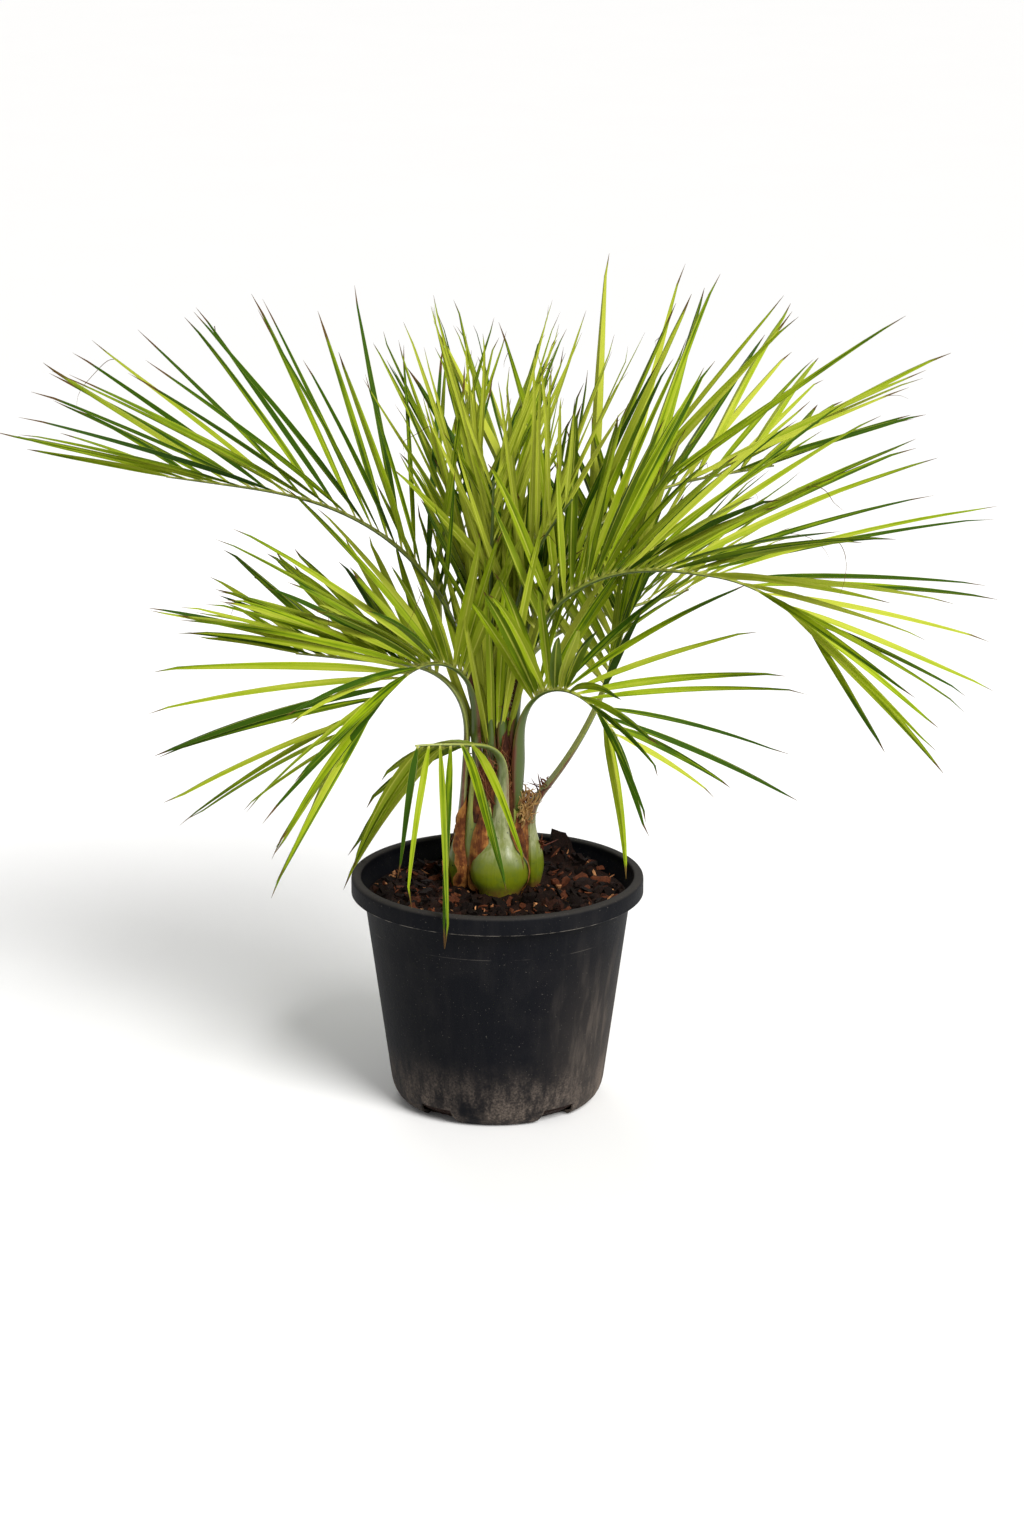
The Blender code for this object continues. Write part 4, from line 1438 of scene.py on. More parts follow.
class LeafletPlan:
    """Places every leaflet by rule and bends it clear of what already stands."""

    blade_width = 12.0
    roll = 34.0
    strays = (6.0, 10.0, 12.0)
    lengths = (0.85, 1.06)
    widths = (0.85, 1.1)
    sags = (0.7, 1.3)
    clearance = 0.9
    bends = ((0, 0), (4, 0), (-4, 0), (0, 4), (0, -4), (7, 3), (-7, 3), (8, -4), (-8, -4), (12, 0),
             (-12, 0), (0, 8), (14, 5), (-14, 5), (18, 0), (-18, 0), (22, 6), (-22, 6))
    trims = (1.0, 0.8, 0.6)
    stagger = {Side.RIGHT: 0.25, Side.LEFT: 0.75}
    last_share = 0.995
    length_arc = (0.18, 0.84)
    tip_start = 0.8
    tip_taper = 1.8
    tip_width = 0.75
    root_height = 0.2

    def __init__(self, stalks: Sequence[Stalk]) -> None:
        """Plan the main leaflets, then the ones between them.

        Args:
            stalks: all the stalks, oldest first.
        """
        self.stalks = stalks
        self.blades: dict[str, list[Blade]] = {stalk.leaf.name: [] for stalk in stalks}
        for stalk in stalks:
            self.fill(stalk, range(stalk.leaf.pairs))
        for stalk in stalks:
            count = round(stalk.leaf.pairs * stalk.leaf.row.value)
            self.fill(stalk, [index + 0.5 for index in range(count)])

    def fill(self, stalk: Stalk, places: Iterable[float]) -> None:
        """Add the leaflets of a stalk at places in its row.

        Args:
            stalk: the stalk.
            places: the places, counted from the lowest pair.
        """
        crowd = bmesh.new()
        for other in self.stalks:
            if other is not stalk:
                other.block(crowd, self.clearance)
                for blade in self.blades[other.leaf.name]:
                    blade.block(crowd)
        others = BVHTree.FromBMesh(crowd)
        crowd.free()
        found = []
        for index in places:
            for side in Side:
                trials = (self.place(stalk, index, side, bend, trim)
                          for trim in self.trims for bend in self.bends)
                blade = next((trial for trial in trials if self.is_clear(trial, others)), None)
                if blade:
                    found.append(blade)
        self.blades[stalk.leaf.name] += found

    def place(self, stalk: Stalk, index: float, side: Side, bend: tuple[float, float],
              trim: float) -> Blade:
        """Return one leaflet of a stalk.

        Args:
            stalk: the stalk that bears it.
            index: its place in the row, counted from the lowest pair.
            side: which side it stands on.
            bend: how far it is turned aside, up and towards the tip.
            trim: the share of its length that is kept.

        Returns:
            The leaflet.
        """
        leaf = stalk.leaf
        seed = leaf.turn * 1000 + int(index * 2) + (side is Side.RIGHT) + (index % 1 > 0) * 500
        rng = random.Random(seed)
        share = min((index + self.stagger[side]) / leaf.pairs, self.last_share)
        place = mix(leaf.bare, leaf.length, share)
        aim, upper = stalk.aim(place), stalk.upper(place)
        across = aim.cross(upper) * side.value
        spread = mix(*leaf.spread, share ** 0.8) + rng.uniform(-1, 1) * self.strays[0] + bend[1]
        spread = math.radians(spread)
        rise = math.radians(mix(*leaf.vee, share) + rng.uniform(-1, 1) * self.strays[1] + bend[0])
        out = across * math.cos(rise) + upper * math.sin(rise)
        direction = aim * math.cos(spread) + out * math.sin(spread)
        low, high = self.length_arc
        length = leaf.blade * (0.45 + 0.55 * math.sin(math.pi * mix(low, high, share)))
        taper = 1.0 - self.tip_taper * max(0.0, share - self.tip_start)
        length *= rng.uniform(*self.lengths) * taper * trim
        flat = (aim - direction * aim.dot(direction)).normalized()
        roll = math.radians(self.roll + rng.uniform(-1, 1) * self.strays[2]) * side.value
        edge = (flat * math.cos(roll) + direction.cross(flat) * math.sin(roll)) * side.value
        width = self.blade_width * rng.uniform(*self.widths) * mix(1.0, self.tip_width, share)
        root = stalk.chord(place) + out * stalk.width(place) * self.root_height
        sag = leaf.droop * rng.uniform(*self.sags)
        return Blade(root, direction, edge, length, width, sag, seed)

    def is_clear(self, blade: Blade, others: BVHTree) -> bool:
        """Tell whether a grown copy of a blade crosses nothing.

        Args:
            blade: the blade.
            others: what already stands.

        Returns:
            Whether it keeps off all of it, and off the pot.
        """
        if not blade.clears_pot():
            return False
        bm = bmesh.new()
        blade.block(bm, self.clearance)
        crossed = BVHTree.FromBMesh(bm).overlap(others)
        bm.free()
        return not crossed


@dataclass(frozen=True)
class HeartFan:
    """Young leaflets, still close together, that rise out of the heart of the crown."""

    leaf: str = "spear"
    count: int = 17
    levels: tuple[float, float] = (346.0, 390.0)
    reach: tuple[float, float] = (8.0, 17.0)
    leans: tuple[float, float] = (3.0, 20.0)
    lengths: tuple[float, float] = (140.0, 270.0)
    widths: tuple[float, float] = (14.0, 19.0)
    front: tuple[float, float] = (190.0, 350.0)
    behind: tuple[float, float] = (0.0, 180.0)
    roll: float = 40.0
    sag: float = 0.03
    seed: int = 23

    def blades(self) -> list[Blade]:
        """Place the leaflets by a seeded draw, most of them at the front.

        Returns:
            The leaflets, ready to build.
        """
        rng = random.Random(self.seed)
        found = []
        for index in range(self.count):
            angle = rng.uniform(*(self.front if index % 4 else self.behind))
            out = turn(angle)
            lean = math.radians(rng.uniform(*self.leans))
            root = Stalk.axis + out * rng.uniform(*self.reach)
            root.z = rng.uniform(*self.levels)
            aim = out * math.sin(lean) + up(math.cos(lean))
            edge = turn(angle + 90.0 + rng.uniform(-self.roll, self.roll))
            edge = (edge - aim * edge.dot(aim)).normalized()
            found.append(Blade(root, aim, edge, rng.uniform(*self.lengths),
                               rng.uniform(*self.widths), self.sag, self.seed * 1000 + index))
        return found


@dataclass(frozen=True)
class TipThreads:
    """Fine dried threads that peel off some leaflets near their tips and hang down."""

    share: float = 0.10
    peel: float = 0.86
    length: tuple[float, float] = (35.0, 95.0)
    ahead: tuple[float, float] = (0.35, 0.75)
    fall: tuple[float, float] = (0.2, 0.8)
    turns: tuple[float, float] = (0.2, 1.1)
    loop: tuple[float, float] = (0.03, 0.10)
    stray: float = 0.22
    radius: tuple[float, float] = (0.30, 0.48)
    columns: int = 13
    lowest: float = 430.0
    highest: float = 800.0
    widest: float = 455.0
    dried: float = 12.0

    def add(self, piece: Piece, blade: Blade, slot: int) -> None:
        """Add a thread to a piece, if the blade bears one and its tip has room for it.

        Args:
            piece: the mesh that takes it.
            blade: the leaflet.
            slot: its material.
        """
        rng = random.Random(blade.seed + 13)
        root = blade.at(self.peel)
        has_room = self.lowest < root.z < self.highest and abs(root.x) < self.widest
        if rng.random() > self.share or not has_room:
            return
        length = rng.uniform(*self.length)
        ahead = (blade.at(1.0) - root).normalized() * rng.uniform(*self.ahead)
        stray = Vector((rng.gauss(0, 1), rng.gauss(0, 1), rng.gauss(0, 0.5))) * self.stray
        fall = rng.uniform(*self.fall)
        turns = rng.uniform(*self.turns) * math.tau
        loop = rng.uniform(*self.loop)

        def curve(t: float) -> Vector:
            """Return a point of the thread.

            Args:
                t: the share of its length.

            Returns:
                The point, in millimetres.
            """
            swing = Vector((math.sin(turns * t), 0.0, math.cos(turns * t) - 1.0)) * (loop * t)
            drop = up(-fall * t * t)
            return root + (ahead * t * (1.0 - 0.4 * t) + stray * t + drop + swing) * length

        tone = (0.0, self.dried, 0.0)
        piece.strand(curve, rng.uniform(*self.radius), tone, self.columns, slot)


@dataclass(frozen=True)
class Crown:
    """All the leaves, each a piece of stalk and leaflets, no two leaflets of quite one green."""

    stalk_slot: int = 0
    blade_slot: int = 1
    green_spread: float = 0.33
    dried_spread: tuple[float, float] = (0.3, 1.6)
    # Shift and spread of each leaflet's painted shade
    shade_shift: float = -0.1
    shade_spread: float = 0.22

    def build(self, stalks: Sequence[Stalk], stalk_green: bpy.types.Material,
              blade_green: bpy.types.Material) -> None:
        """Build and dress the leaves.

        Args:
            stalks: the stalks, oldest first.
            stalk_green: the material of stalks.
            blade_green: the material of leaflets.
        """
        plan = LeafletPlan(stalks)
        heart = HeartFan()
        threads = TipThreads()
        plan.blades[heart.leaf] += heart.blades()
        for stalk in stalks:
            leaf = stalk.leaf
            piece = Piece()
            stalk.build(piece, self.stalk_slot)
            green, dried, shade, breadth = leaf.age.value
            for blade in plan.blades[leaf.name]:
                rng = random.Random(blade.seed + 7)
                # The third part is the leaflet's painted shade, heaviest on leaves in shadow
                tone = (green + rng.gauss(0, self.green_spread),
                        dried * rng.uniform(*self.dried_spread),
                        min(1.0, max(0.0, shade + rng.gauss(self.shade_shift, self.shade_spread))))
                blade.build(piece, tone, breadth, self.blade_slot)
                threads.add(piece, blade, self.blade_slot)
            piece.finish(f"frond_{leaf.name}", [stalk_green, blade_green], "leaf_green",
                         [f"leaf_{leaf.name}"])
            LOG.info("%s bears %d leaflets", leaf.name, len(plan.blades[leaf.name]))


# The stem and its fibres


@dataclass(frozen=True)
class FibreStem:
    """The short stem in its mat of sheath fibre; its radii go by height."""

    radii: Points = ((206.0, 27.0), (222.0, 33.0), (244.0, 36.0), (272.0, 33.0), (300.0, 29.0),
                     (326.0, 27.0), (346.0, 24.0))
    steps: int = 72
    rows: int = 40
    ridges: int = 7
    ridge_depth: float = 0.03
    roughness: float = 0.035

    def build(self, material: bpy.types.Material) -> None:
        """Build and dress the stem.

        Args:
            material: its fibre.
        """
        piece = Piece()
        low, high = self.radii[0][0], self.radii[-1][0]
        rows = [mix(low, high, i / self.rows) for i in range(self.rows + 1)]
        side = [(read_curve(self.radii, z), z) for z in rows]
        piece.spin([(0.0, low), *side, (0.0, high)], self.steps)
        for vert in piece.bm.verts:
            point = vert.co / MM
            angle = math.atan2(point.y, point.x)
            grain = noise.noise(Vector((point.x * 0.2, point.y * 0.2, point.z * 0.04)))
            ridge = 1.0 + self.ridge_depth * math.sin(self.ridges * angle + point.z * 0.05)
            ridge += self.roughness * grain
            vert.co.x *= ridge
            vert.co.y *= ridge
        bmesh.ops.translate(piece.bm, verts=piece.bm.verts, vec=Stalk.axis * MM)
        piece.paint(piece.bm.verts, (0.10, 0.0, 0.0))
        piece.finish("fibre_stem", [material], "stem_fibre", ["stem"], crease=50.0)


@dataclass(frozen=True)
class SheathFlap:
    """A papery strip that stands off the margin of a leaf base."""

    leaf: str
    around: float
    start: float
    end: float
    width: float
    lift: float
    kind: float
    lean: float = 0.0


@dataclass(frozen=True)
class DrySheaths:
    """Dried sheath margins between and beside the leaf bases."""

    flaps: tuple[SheathFlap, ...] = (
        SheathFlap("low_front", 0.27, 0, 76, 4, 0.7, 0.40, 4),
        SheathFlap("low_front", 0.76, 0, 88, 7, 0.8, 0.55, 6),
        SheathFlap("thorny", 0.76, 2, 96, 8, 1.0, 0.45, 10),
        SheathFlap("thorny", 0.70, 30, 104, 8, 1.4, 0.60, -8),
        SheathFlap("old_left", 0.24, 0, 96, 13, 1.2, 0.55, 10),
        SheathFlap("old_left", 0.55, 0, 104, 25, 1.6, 0.46, 6),
        SheathFlap("old_left", 0.05, 0, 66, 16, 1.0, 0.42, 0),
        SheathFlap("old_left", 0.72, 4, 92, 12, 1.4, 0.50, 8),
        SheathFlap("mid_back", 0.26, 4, 90, 10, 1.0, 0.45, 10),
        SheathFlap("back_left", 0.74, 4, 90, 10, 1.0, 0.50, 10),
    )
    columns: int = 22
    rows: int = 6
    thickness: float = 0.7
    least_width: float = 8.0
    ragged: float = 0.45
    outward: float = 1.4
    crimp: float = 2.2

    def build(self, stalks: Sequence[Stalk], material: bpy.types.Material) -> None:
        """Build and dress the flaps.

        Args:
            stalks: all the stalks.
            material: their paper.
        """
        named = {stalk.leaf.name: stalk for stalk in stalks}
        piece = Piece()
        for index, flap in enumerate(self.flaps):
            self.add(piece, flap, named[flap.leaf], index)
        piece.finish("sheath_margins", [material], "stem_fibre", crease=60.0)

    def add(self, piece: Piece, flap: SheathFlap, stalk: Stalk, index: int) -> None:
        """Add one flap as a thin closed strip with a ragged outer edge.

        Args:
            piece: the mesh that takes it.
            flap: the flap.
            stalk: the stalk that it stands on.
            index: its number, which its ragged edge varies with.
        """

        def place(along: float, around: float) -> Vector:
            """Return a point of the strip, out along one face and back along the other.

            Args:
                along: the share of its length.
                around: the share of the way round.

            Returns:
                The point, in millimetres.
            """
            share = min(around, 1.0 - around) * 2.0
            length = mix(flap.start, flap.end, along)
            spread = math.sin(math.pi * min(1.0, along * 0.70 + 0.295)) ** 0.8
            ragged = 1.0 + self.ragged * noise.noise(Vector((along * 9.0, index * 3.1, share)))
            reach = flap.width * spread * ragged * share
            width = max(self.least_width, read_curve(stalk.widths, length))
            turned = flap.around + (reach / (math.pi * width)) * (1 if flap.around > 0.5 else -1)
            crimp = self.crimp * noise.noise(Vector((along * 5.0, index, 0.0)))
            off = flap.lift + share * (self.outward + crimp)
            off += (self.thickness / 2.0) * (1 if around < 0.5 else -1)
            return stalk.skin(length, turned, off) + up(flap.lean * 0.2 * share * along)

        def tone(along: float, around: float) -> Colour:
            """Return the strip's tone, paler towards its outer edge."""
            share = min(around, 1.0 - around) * 2.0
            return flap.kind + 0.35 * share ** 3 - 0.12 * (1 - along), 0.0, 0.0

        piece.tube(self.columns, self.rows, place, tone, pointed=False)


@dataclass(frozen=True)
class Clasp:
    """A strip that clasps the stem; its ends are an angle, a distance from the axis, a height."""

    low: tuple[float, float, float]
    high: tuple[float, float, float]
    widths: Points
    bulge: float
    kind: float = 0.0


@dataclass(frozen=True)
class ClaspingBases:
    """Green feet of the inner leaves and dried sheaths, laid round the stem."""

    green: tuple[Clasp, ...] = (
        Clasp((308, 32, 256), (343, 17.5, 352), ((0, 21), (0.35, 18), (0.75, 13.5), (1, 11)), 4.6),
        Clasp((249, 32, 262), (257, 16.0, 352), ((0, 18), (0.5, 15), (1, 11)), 4.6),
        Clasp((222, 33, 250), (203, 18.5, 352), ((0, 27), (0.4, 20), (0.8, 14), (1, 11)), 5.0),
        Clasp((188, 31, 256), (172, 13.5, 350), ((0, 20), (0.5, 16), (1, 11)), 4.5),
        Clasp((18, 31, 256), (34, 15.5, 350), ((0, 22), (0.5, 16), (1, 11)), 4.5),
        Clasp((92, 31, 256), (87, 10.0, 350), ((0, 22), (0.5, 16), (1, 10)), 4.5),
    )
    dried: tuple[Clasp, ...] = (
        Clasp((236, 37, 226), (250, 31.5, 309), ((0, 18), (0.45, 21), (0.8, 12), (1, 2)),
              2.6, 0.58),
        Clasp((322, 37, 232), (318, 31.5, 298), ((0, 18), (0.45, 19), (0.8, 11), (1, 2)),
              2.2, 0.34),
        Clasp((337, 35, 240), (345, 29.0, 322), ((0, 18), (0.5, 16), (1, 2)), 2.2, 0.55),
        Clasp((289, 27, 312), (316, 15.5, 396), ((0, 17), (0.5, 14), (0.85, 8), (1, 2)),
              1.6, 0.20),
        Clasp((232, 30, 296), (236, 21.0, 362), ((0, 15), (0.5, 9), (1, 2)), 1.8, 0.24),
        Clasp((192, 49, 212), (190, 54.0, 246), ((0, 13), (0.5, 9), (1, 1)), 1.2, 0.95),
        Clasp((150, 34, 232), (158, 26.0, 318), ((0, 24), (0.5, 18), (1, 3)), 2.4, 0.50),
        Clasp((62, 34, 232), (66, 24.0, 330), ((0, 24), (0.5, 20), (1, 3)), 2.4, 0.45),
    )
    columns: int = 26
    sides: int = 16
    backing: float = 1.2
    arch: float = 1.4
    unevenness: float = 0.9
    ragged: float = 0.16
    sunk_foot: float = 5.0
    least_radius: float = 9.0

    def build(self, stalk_green: bpy.types.Material, paper: bpy.types.Material) -> None:
        """Build and dress the strips, the green ones as one piece and the dried ones as another.

        Args:
            stalk_green: the material of the green ones.
            paper: the material of the dried ones.
        """
        bases, strips = Piece(), Piece()
        for index, clasp in enumerate(self.green):
            self.add(bases, clasp, False, index)
        for index, clasp in enumerate(self.dried):
            self.add(strips, clasp, True, index)
        bases.finish("clasping_bases", [stalk_green], "leaf_green", crease=60.0)
        strips.finish("dried_sheath_strips", [paper], "stem_fibre", crease=60.0)

    def add(self, piece: Piece, clasp: Clasp, is_dry: bool, index: int) -> None:
        """Add one strip, rounded outwards and thin at its edges.

        Args:
            piece: the mesh that takes it.
            clasp: the strip.
            is_dry: whether it is a dried one.
            index: its number, which its ragged edges vary with.
        """

        def across(around: float) -> float:
            """Turn the way round, along the face and back, into a place across the strip.

            Args:
                around: the share of the way round.

            Returns:
                The place across it, from -1 to 1.
            """
            if 0.25 <= around <= 0.75:
                return (around - 0.5) * 4.0
            return around * -4.0 if around < 0.5 else (1.0 - around) * 4.0

        def place(along: float, around: float) -> Vector:
            """Return a point of the strip.

            Args:
                along: the share of its length.
                around: the share of the way round.

            Returns:
                The point, in millimetres.
            """
            spot = across(around)
            lift = clasp.bulge if 0.25 <= around <= 0.75 else -self.backing
            angle, out, level = (mix(low, high, along) for low, high in zip(clasp.low, clasp.high))
            dents = noise.noise(Vector((along * 4.0, spot * 1.5, index * 5.0 + is_dry)))
            nicks = noise.noise(Vector((along * 8.0, math.copysign(3.0, spot), index)))
            crown = 1.0 - spot * spot
            out += math.sin(math.pi * along) * self.arch + dents * self.unevenness
            half = read_curve(clasp.widths, along) / 2.0 * (1.0 + self.ragged * nicks)
            level -= (1.0 - along) ** 2 * self.sunk_foot * crown
            heading = turn(angle + math.degrees(spot * half / max(out, self.least_radius)))
            return Stalk.axis + heading * (out + lift * crown) + up(level)

        def tone(along: float, around: float) -> Colour:
            """Return the strip's tone: its edges and foot dry out, or pale at the edges.

            Args:
                along: the share of its length.
                around: the share of the way round.

            Returns:
                The tone.
            """
            edge = abs(across(around))
            if is_dry:
                return clasp.kind + 0.30 * edge ** 4 - 0.10 * along, 0.0, 0.0
            dry = max(ease(edge, 0.72, 0.92), ease(along, 0.20, 0.04))
            return 0.12, dry, 0.55 * (1.0 - along)

        piece.tube(self.columns, self.sides, place, tone, pointed=False)


@dataclass(frozen=True)
class SpineRow:
    """A row of curved fibres or spines along one margin of a stalk."""

    leaf: str
    around: float
    start: float
    end: float
    count: int
    length: tuple[float, float]
    kind: float
    rise: float
    radius: float = 0.72


@dataclass(frozen=True)
class LooseFibres:
    """Spines on the stalk margins, the web round the bases and a curly tuft at the right."""

    rows: tuple[SpineRow, ...] = (
        SpineRow("thorny", 0.66, 54, 122, 34, (4, 9), 0.04, 0.4, 1.05),
        SpineRow("thorny", 0.40, 56, 116, 24, (4, 9), 0.02, 0.4, 1.05),
        SpineRow("thorny", 0.10, 44, 54, 15, (3, 8), -0.10, 0.3, 0.95),
        SpineRow("mid_right", 0.36, 24, 128, 60, (2.5, 6.5), 0.04, 0.4),
        SpineRow("mid_right", 0.62, 30, 112, 26, (2.5, 5.0), 0.08, 0.4),
        SpineRow("old_left", 0.25, 70, 150, 22, (1.5, 5), 0.15, 0.6),
        SpineRow("low_left", 0.75, 10, 60, 16, (1.5, 4), 0.12, 0.6),
        SpineRow("high_left", 0.25, 20, 90, 18, (1.5, 4), 0.15, 0.6),
        SpineRow("low_front", 0.25, 80, 150, 12, (1.5, 3), 0.2, 0.6),
    )
    web_strands: int = 92
    web_front: tuple[float, float] = (245.0, 330.0)
    web_front_share: float = 0.55
    web_sweeps: tuple[float, float] = (14.0, 55.0)
    web_levels: tuple[float, float] = (306.0, 352.0)
    web_rises: tuple[float, float] = (16.0, 46.0)
    web_reach: tuple[float, float] = (25.5, 29.5)
    web_kinds: tuple[float, float] = (0.15, 0.75)
    web_radii: tuple[float, float] = (0.28, 0.6)
    tuft_strands: int = 56
    tuft_seats: tuple[float, float] = (-46.0, 6.0)
    tuft_levels: tuple[float, float] = (280.0, 312.0)
    tuft_kinds: tuple[float, float] = (0.45, 1.20)
    tuft_radii: tuple[float, float] = (0.65, 1.30)
    seed: int = 11

    def build(self, stalks: Sequence[Stalk], material: bpy.types.Material) -> None:
        """Build and dress the fibres.

        Args:
            stalks: all the stalks.
            material: their fibre.
        """
        named = {stalk.leaf.name: stalk for stalk in stalks}
        rng = random.Random(self.seed)
        spines = Piece()
        for row in self.rows:
            self.add_row(spines, row, named[row.leaf], rng)
        spines.finish("margin_spines", [material], "stem_fibre", crease=80.0)
        web = Piece()
        for _ in range(self.web_strands):
            self.add_web_strand(web, rng)
        for _ in range(self.tuft_strands):
            self.add_curl(web, rng)
        web.finish("sheath_fibres", [material], "stem_fibre", crease=80.0)

    def add_row(self, piece: Piece, row: SpineRow, stalk: Stalk, rng: random.Random) -> None:
        """Add the spines of one row, each standing off the margin and hooked to the tip.

        Args:
            piece: the mesh that takes it.
            row: the row.
            stalk: the stalk that bears it.
            rng: the seeded draw.
        """
        for i in range(row.count):
            length = mix(row.start, row.end, (i + rng.random()) / row.count)
            around = row.around + rng.uniform(-0.02, 0.02)
            root = stalk.skin(length, around, -0.4)
            out = (stalk.skin(length, around, 5.0) - root).normalized()
            reach = rng.uniform(*row.length)
            stray = Vector((rng.gauss(0, 1), rng.gauss(0, 1), rng.gauss(0, 1))) * 0.25
            ahead = stalk.aim(length) * row.rise + out + stray
            hook = stalk.aim(length) * rng.uniform(-1.2, 1.2) + stray * 3.0
            kind = row.kind + rng.uniform(-0.05, 0.35)

            def curve(t: float) -> Vector:
                """Return a point of the spine."""
                return root + (ahead * t + hook * (t * t * 0.6)) * reach

            piece.strand(curve, row.radius * rng.uniform(0.7, 1.3), (kind, 0.0, 0.0), 5)

    def add_web_strand(self, piece: Piece, rng: random.Random) -> None:
        """Add one strand of the web that wraps the stalks above the stem.

        Args:
            piece: the mesh that takes it.
            rng: the seeded draw.
        """
        start = rng.uniform(0, 360)
        if rng.random() < self.web_front_share:
            start = rng.uniform(*self.web_front)
        sweep = rng.choice((-1, 1)) * rng.uniform(*self.web_sweeps)
        low = rng.uniform(*self.web_levels)
        rise = rng.uniform(*self.web_rises)
        reach = rng.uniform(*self.web_reach)
        wave = rng.uniform(0, 6)
        kind = rng.uniform(*self.web_kinds)

        def curve(t: float) -> Vector:
            """Return a point of the strand.

            Args:
                t: the share of its length.

            Returns:
                The point, in millimetres.
            """
            z = low + rise * t
            out = reach - max(0.0, z - 330.0) * 0.10 + math.sin(t * 9 + wave) * 0.8
            return Stalk.axis + turn(start + sweep * t) * out + up(z)

        piece.strand(curve, rng.uniform(*self.web_radii), (kind, 0.0, 0.0), 9)

    def add_curl(self, piece: Piece, rng: random.Random) -> None:
        """Add one curled fibre of the tuft at the right of the stem.

        Args:
            piece: the mesh that takes it.
            rng: the seeded draw.
        """
        start = turn(rng.uniform(*self.tuft_seats)) * rng.uniform(29, 35)
        root = Stalk.axis + start + up(rng.uniform(*self.tuft_levels))
        out = turn(rng.uniform(-60, 5)) * rng.uniform(2, 15) + up(rng.uniform(6, 27))
        loop = rng.uniform(1.8, 5.5)
        turns = rng.uniform(0.6, 1.7) * math.tau
        wave = rng.uniform(0, math.tau)
        kind = rng.uniform(*self.tuft_kinds)

        def curve(t: float) -> Vector:
            """Return a point of the curl.

            Args:
                t: the share of its length.

            Returns:
                The point, in millimetres.
            """
            angle = turns * t
            swing = Vector((math.cos(angle + wave), 0.4 * math.sin(angle), math.sin(angle + wave)))
            return root + out * t + swing * (loop * t)

        piece.strand(curve, rng.uniform(*self.tuft_radii), (kind, 0.0, 0.0), 13)


# The studio


@dataclass(frozen=True)
class Softbox:
    """A square softbox that faces the palm."""

    name: str
    place: tuple[float, float, float]
    power: float
    colour: Colour
    size: float = 1500.0


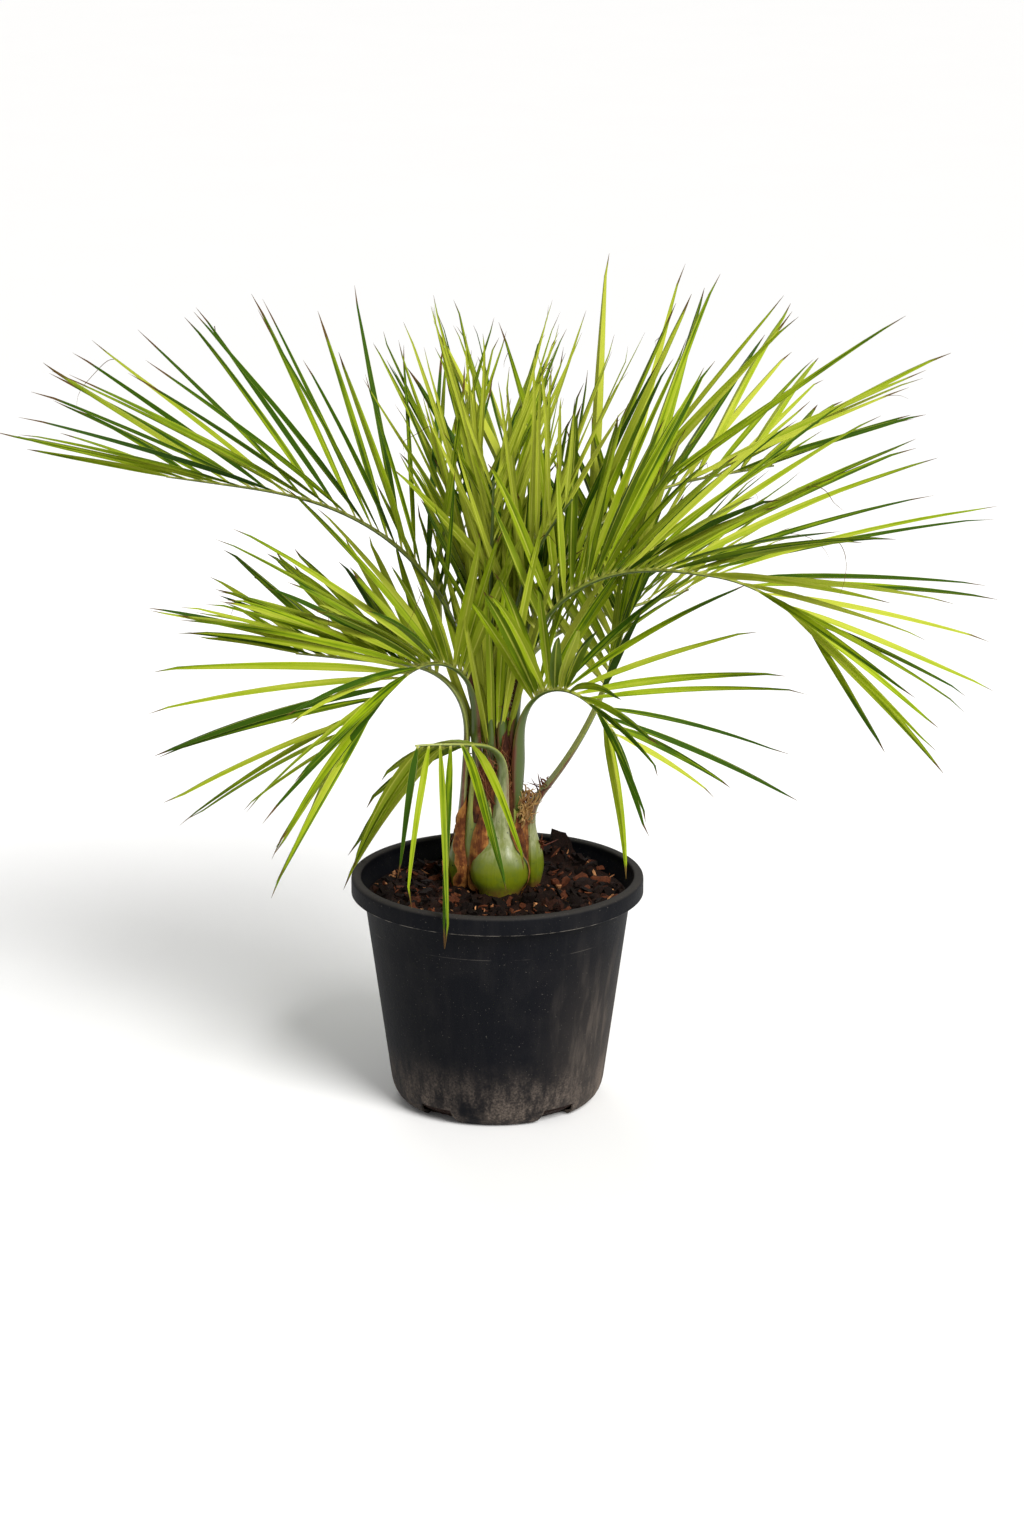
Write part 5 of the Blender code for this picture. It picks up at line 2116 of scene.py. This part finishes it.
@dataclass(frozen=True)
class Studio:
    """Pale floor, soft light and the camera at the photograph's angle."""

    aim: tuple[float, float, float] = (15.0, 0.0, 352.0)
    elevation: float = 16.2
    distance: float = 4200.0
    lens: float = 96.6
    sensor: float = 36.0
    clip_end: float = 200.0
    floor_size: float = 60.0
    world: Colour = (1.0, 1.0, 1.0)
    world_strength: float = 0.38
    backdrop_strength: float = 1.0
    sun_strength: float = 3.55
    sun_softness: float = 28.0
    sun_colour: Colour = (1.0, 0.99, 0.975)
    sun_place: tuple[float, float, float] = (1500.0, -2200.0, 2600.0)
    softboxes: tuple[Softbox, ...] = (
        Softbox("fill", (2600.0, -1700.0, 1300.0), 18.0, (1.0, 0.98, 0.95)),
        Softbox("back", (-600.0, 2400.0, 2200.0), 20.0, (1.0, 1.0, 0.98)),
    )

    def build(self, floor: bpy.types.Material) -> None:
        """Set the studio up.

        Args:
            floor: the floor's material.
        """
        self.add_floor(floor)
        self.add_world()
        self.add_sun()
        for softbox in self.softboxes:
            self.add_softbox(softbox)
        self.add_camera()
        bpy.context.scene.view_settings.view_transform = "Standard"

    def add_floor(self, material: bpy.types.Material) -> None:
        """Lay the floor.

        Args:
            material: its material.
        """
        bm = bmesh.new()
        bmesh.ops.create_grid(bm, x_segments=2, y_segments=2, size=self.floor_size / 2.0)
        floor = make_object("studio_floor", bm)
        floor.data.materials.append(material)

    def add_world(self) -> None:
        """Light the palm evenly from all round, before a white backdrop."""
        world = bpy.data.worlds.new("studio")
        world.use_nodes = True
        nodes, links = world.node_tree.nodes, world.node_tree.links
        nodes["Background"].inputs["Color"].default_value = (*self.world, 1.0)
        seen = nodes.new("ShaderNodeLightPath")
        strength = nodes.new("ShaderNodeMix")
        strength.inputs["A"].default_value = self.world_strength
        strength.inputs["B"].default_value = self.backdrop_strength
        links.new(seen.outputs["Is Camera Ray"], strength.inputs["Factor"])
        links.new(strength.outputs["Result"], nodes["Background"].inputs["Strength"])
        bpy.context.scene.world = world

    def add_softbox(self, softbox: Softbox) -> None:
        """Hang a softbox.

        Args:
            softbox: the softbox.
        """
        light = bpy.data.lights.new(softbox.name, "AREA")
        light.size = softbox.size * MM
        light.energy = softbox.power
        light.color = softbox.colour
        self.hang(light, softbox.place)

    def add_sun(self) -> None:
        """Light the palm and the whole floor alike from the front right, with soft shadows."""
        light = bpy.data.lights.new("key", "SUN")
        light.energy = self.sun_strength
        light.angle = math.radians(self.sun_softness)
        light.color = self.sun_colour
        self.hang(light, self.sun_place)

    def hang(self, light: bpy.types.Light, place: Sequence[float]) -> None:
        """Hang a light so that it faces the palm.

        Args:
            light: the light.
            place: where it hangs, in millimetres.
        """
        item = bpy.data.objects.new(light.name, light)
        item.location = Vector(place) * MM
        towards = Vector(self.aim) * MM - item.location
        item.rotation_euler = towards.to_track_quat("-Z", "Y").to_euler()
        bpy.context.scene.collection.objects.link(item)

    def add_camera(self) -> None:
        """Put the camera where the photograph was taken from."""
        camera = bpy.data.cameras.new("camera")
        camera.lens = self.lens
        camera.sensor_width = self.sensor
        camera.clip_end = self.clip_end
        item = bpy.data.objects.new("camera", camera)
        rise = math.radians(self.elevation)
        back = Vector((0.0, -math.cos(rise), math.sin(rise))) * self.distance
        item.location = (Vector(self.aim) + back) * MM
        item.rotation_euler = (math.pi / 2.0 - rise, 0.0, 0.0)
        bpy.context.scene.collection.objects.link(item)
        bpy.context.scene.camera = item


def main() -> None:
    """Dress the palm and set the studio."""
    logging.basicConfig(level=logging.INFO, format="%(message)s")
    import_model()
    stalks = [Stalk(leaf) for leaf in LEAVES]
    bases = [(Vector((*stalk.at(20.0).xy, 0.0)), stalk.leaf.bulb / 2.0)
             for stalk in stalks if stalk.leaf.bulb]
    NurseryPot().build(PotPlastic().make())
    BarkSoil().build(BarkMix().make(), [*bases, (Stalk.axis, 30.0)])
    stalk_green = StalkGreen().make()
    Crown().build(stalks, stalk_green, BladeGreen().make())
    FibreStem().build(SheathFibre().make())
    paper = DryPaper().make()
    DrySheaths().build(stalks, paper)
    ClaspingBases().build(stalk_green, paper)
    LooseFibres().build(stalks, ThreadBrown().make())
    Studio().build(PaleFloor().make())


if __name__ == "__main__":
    main()
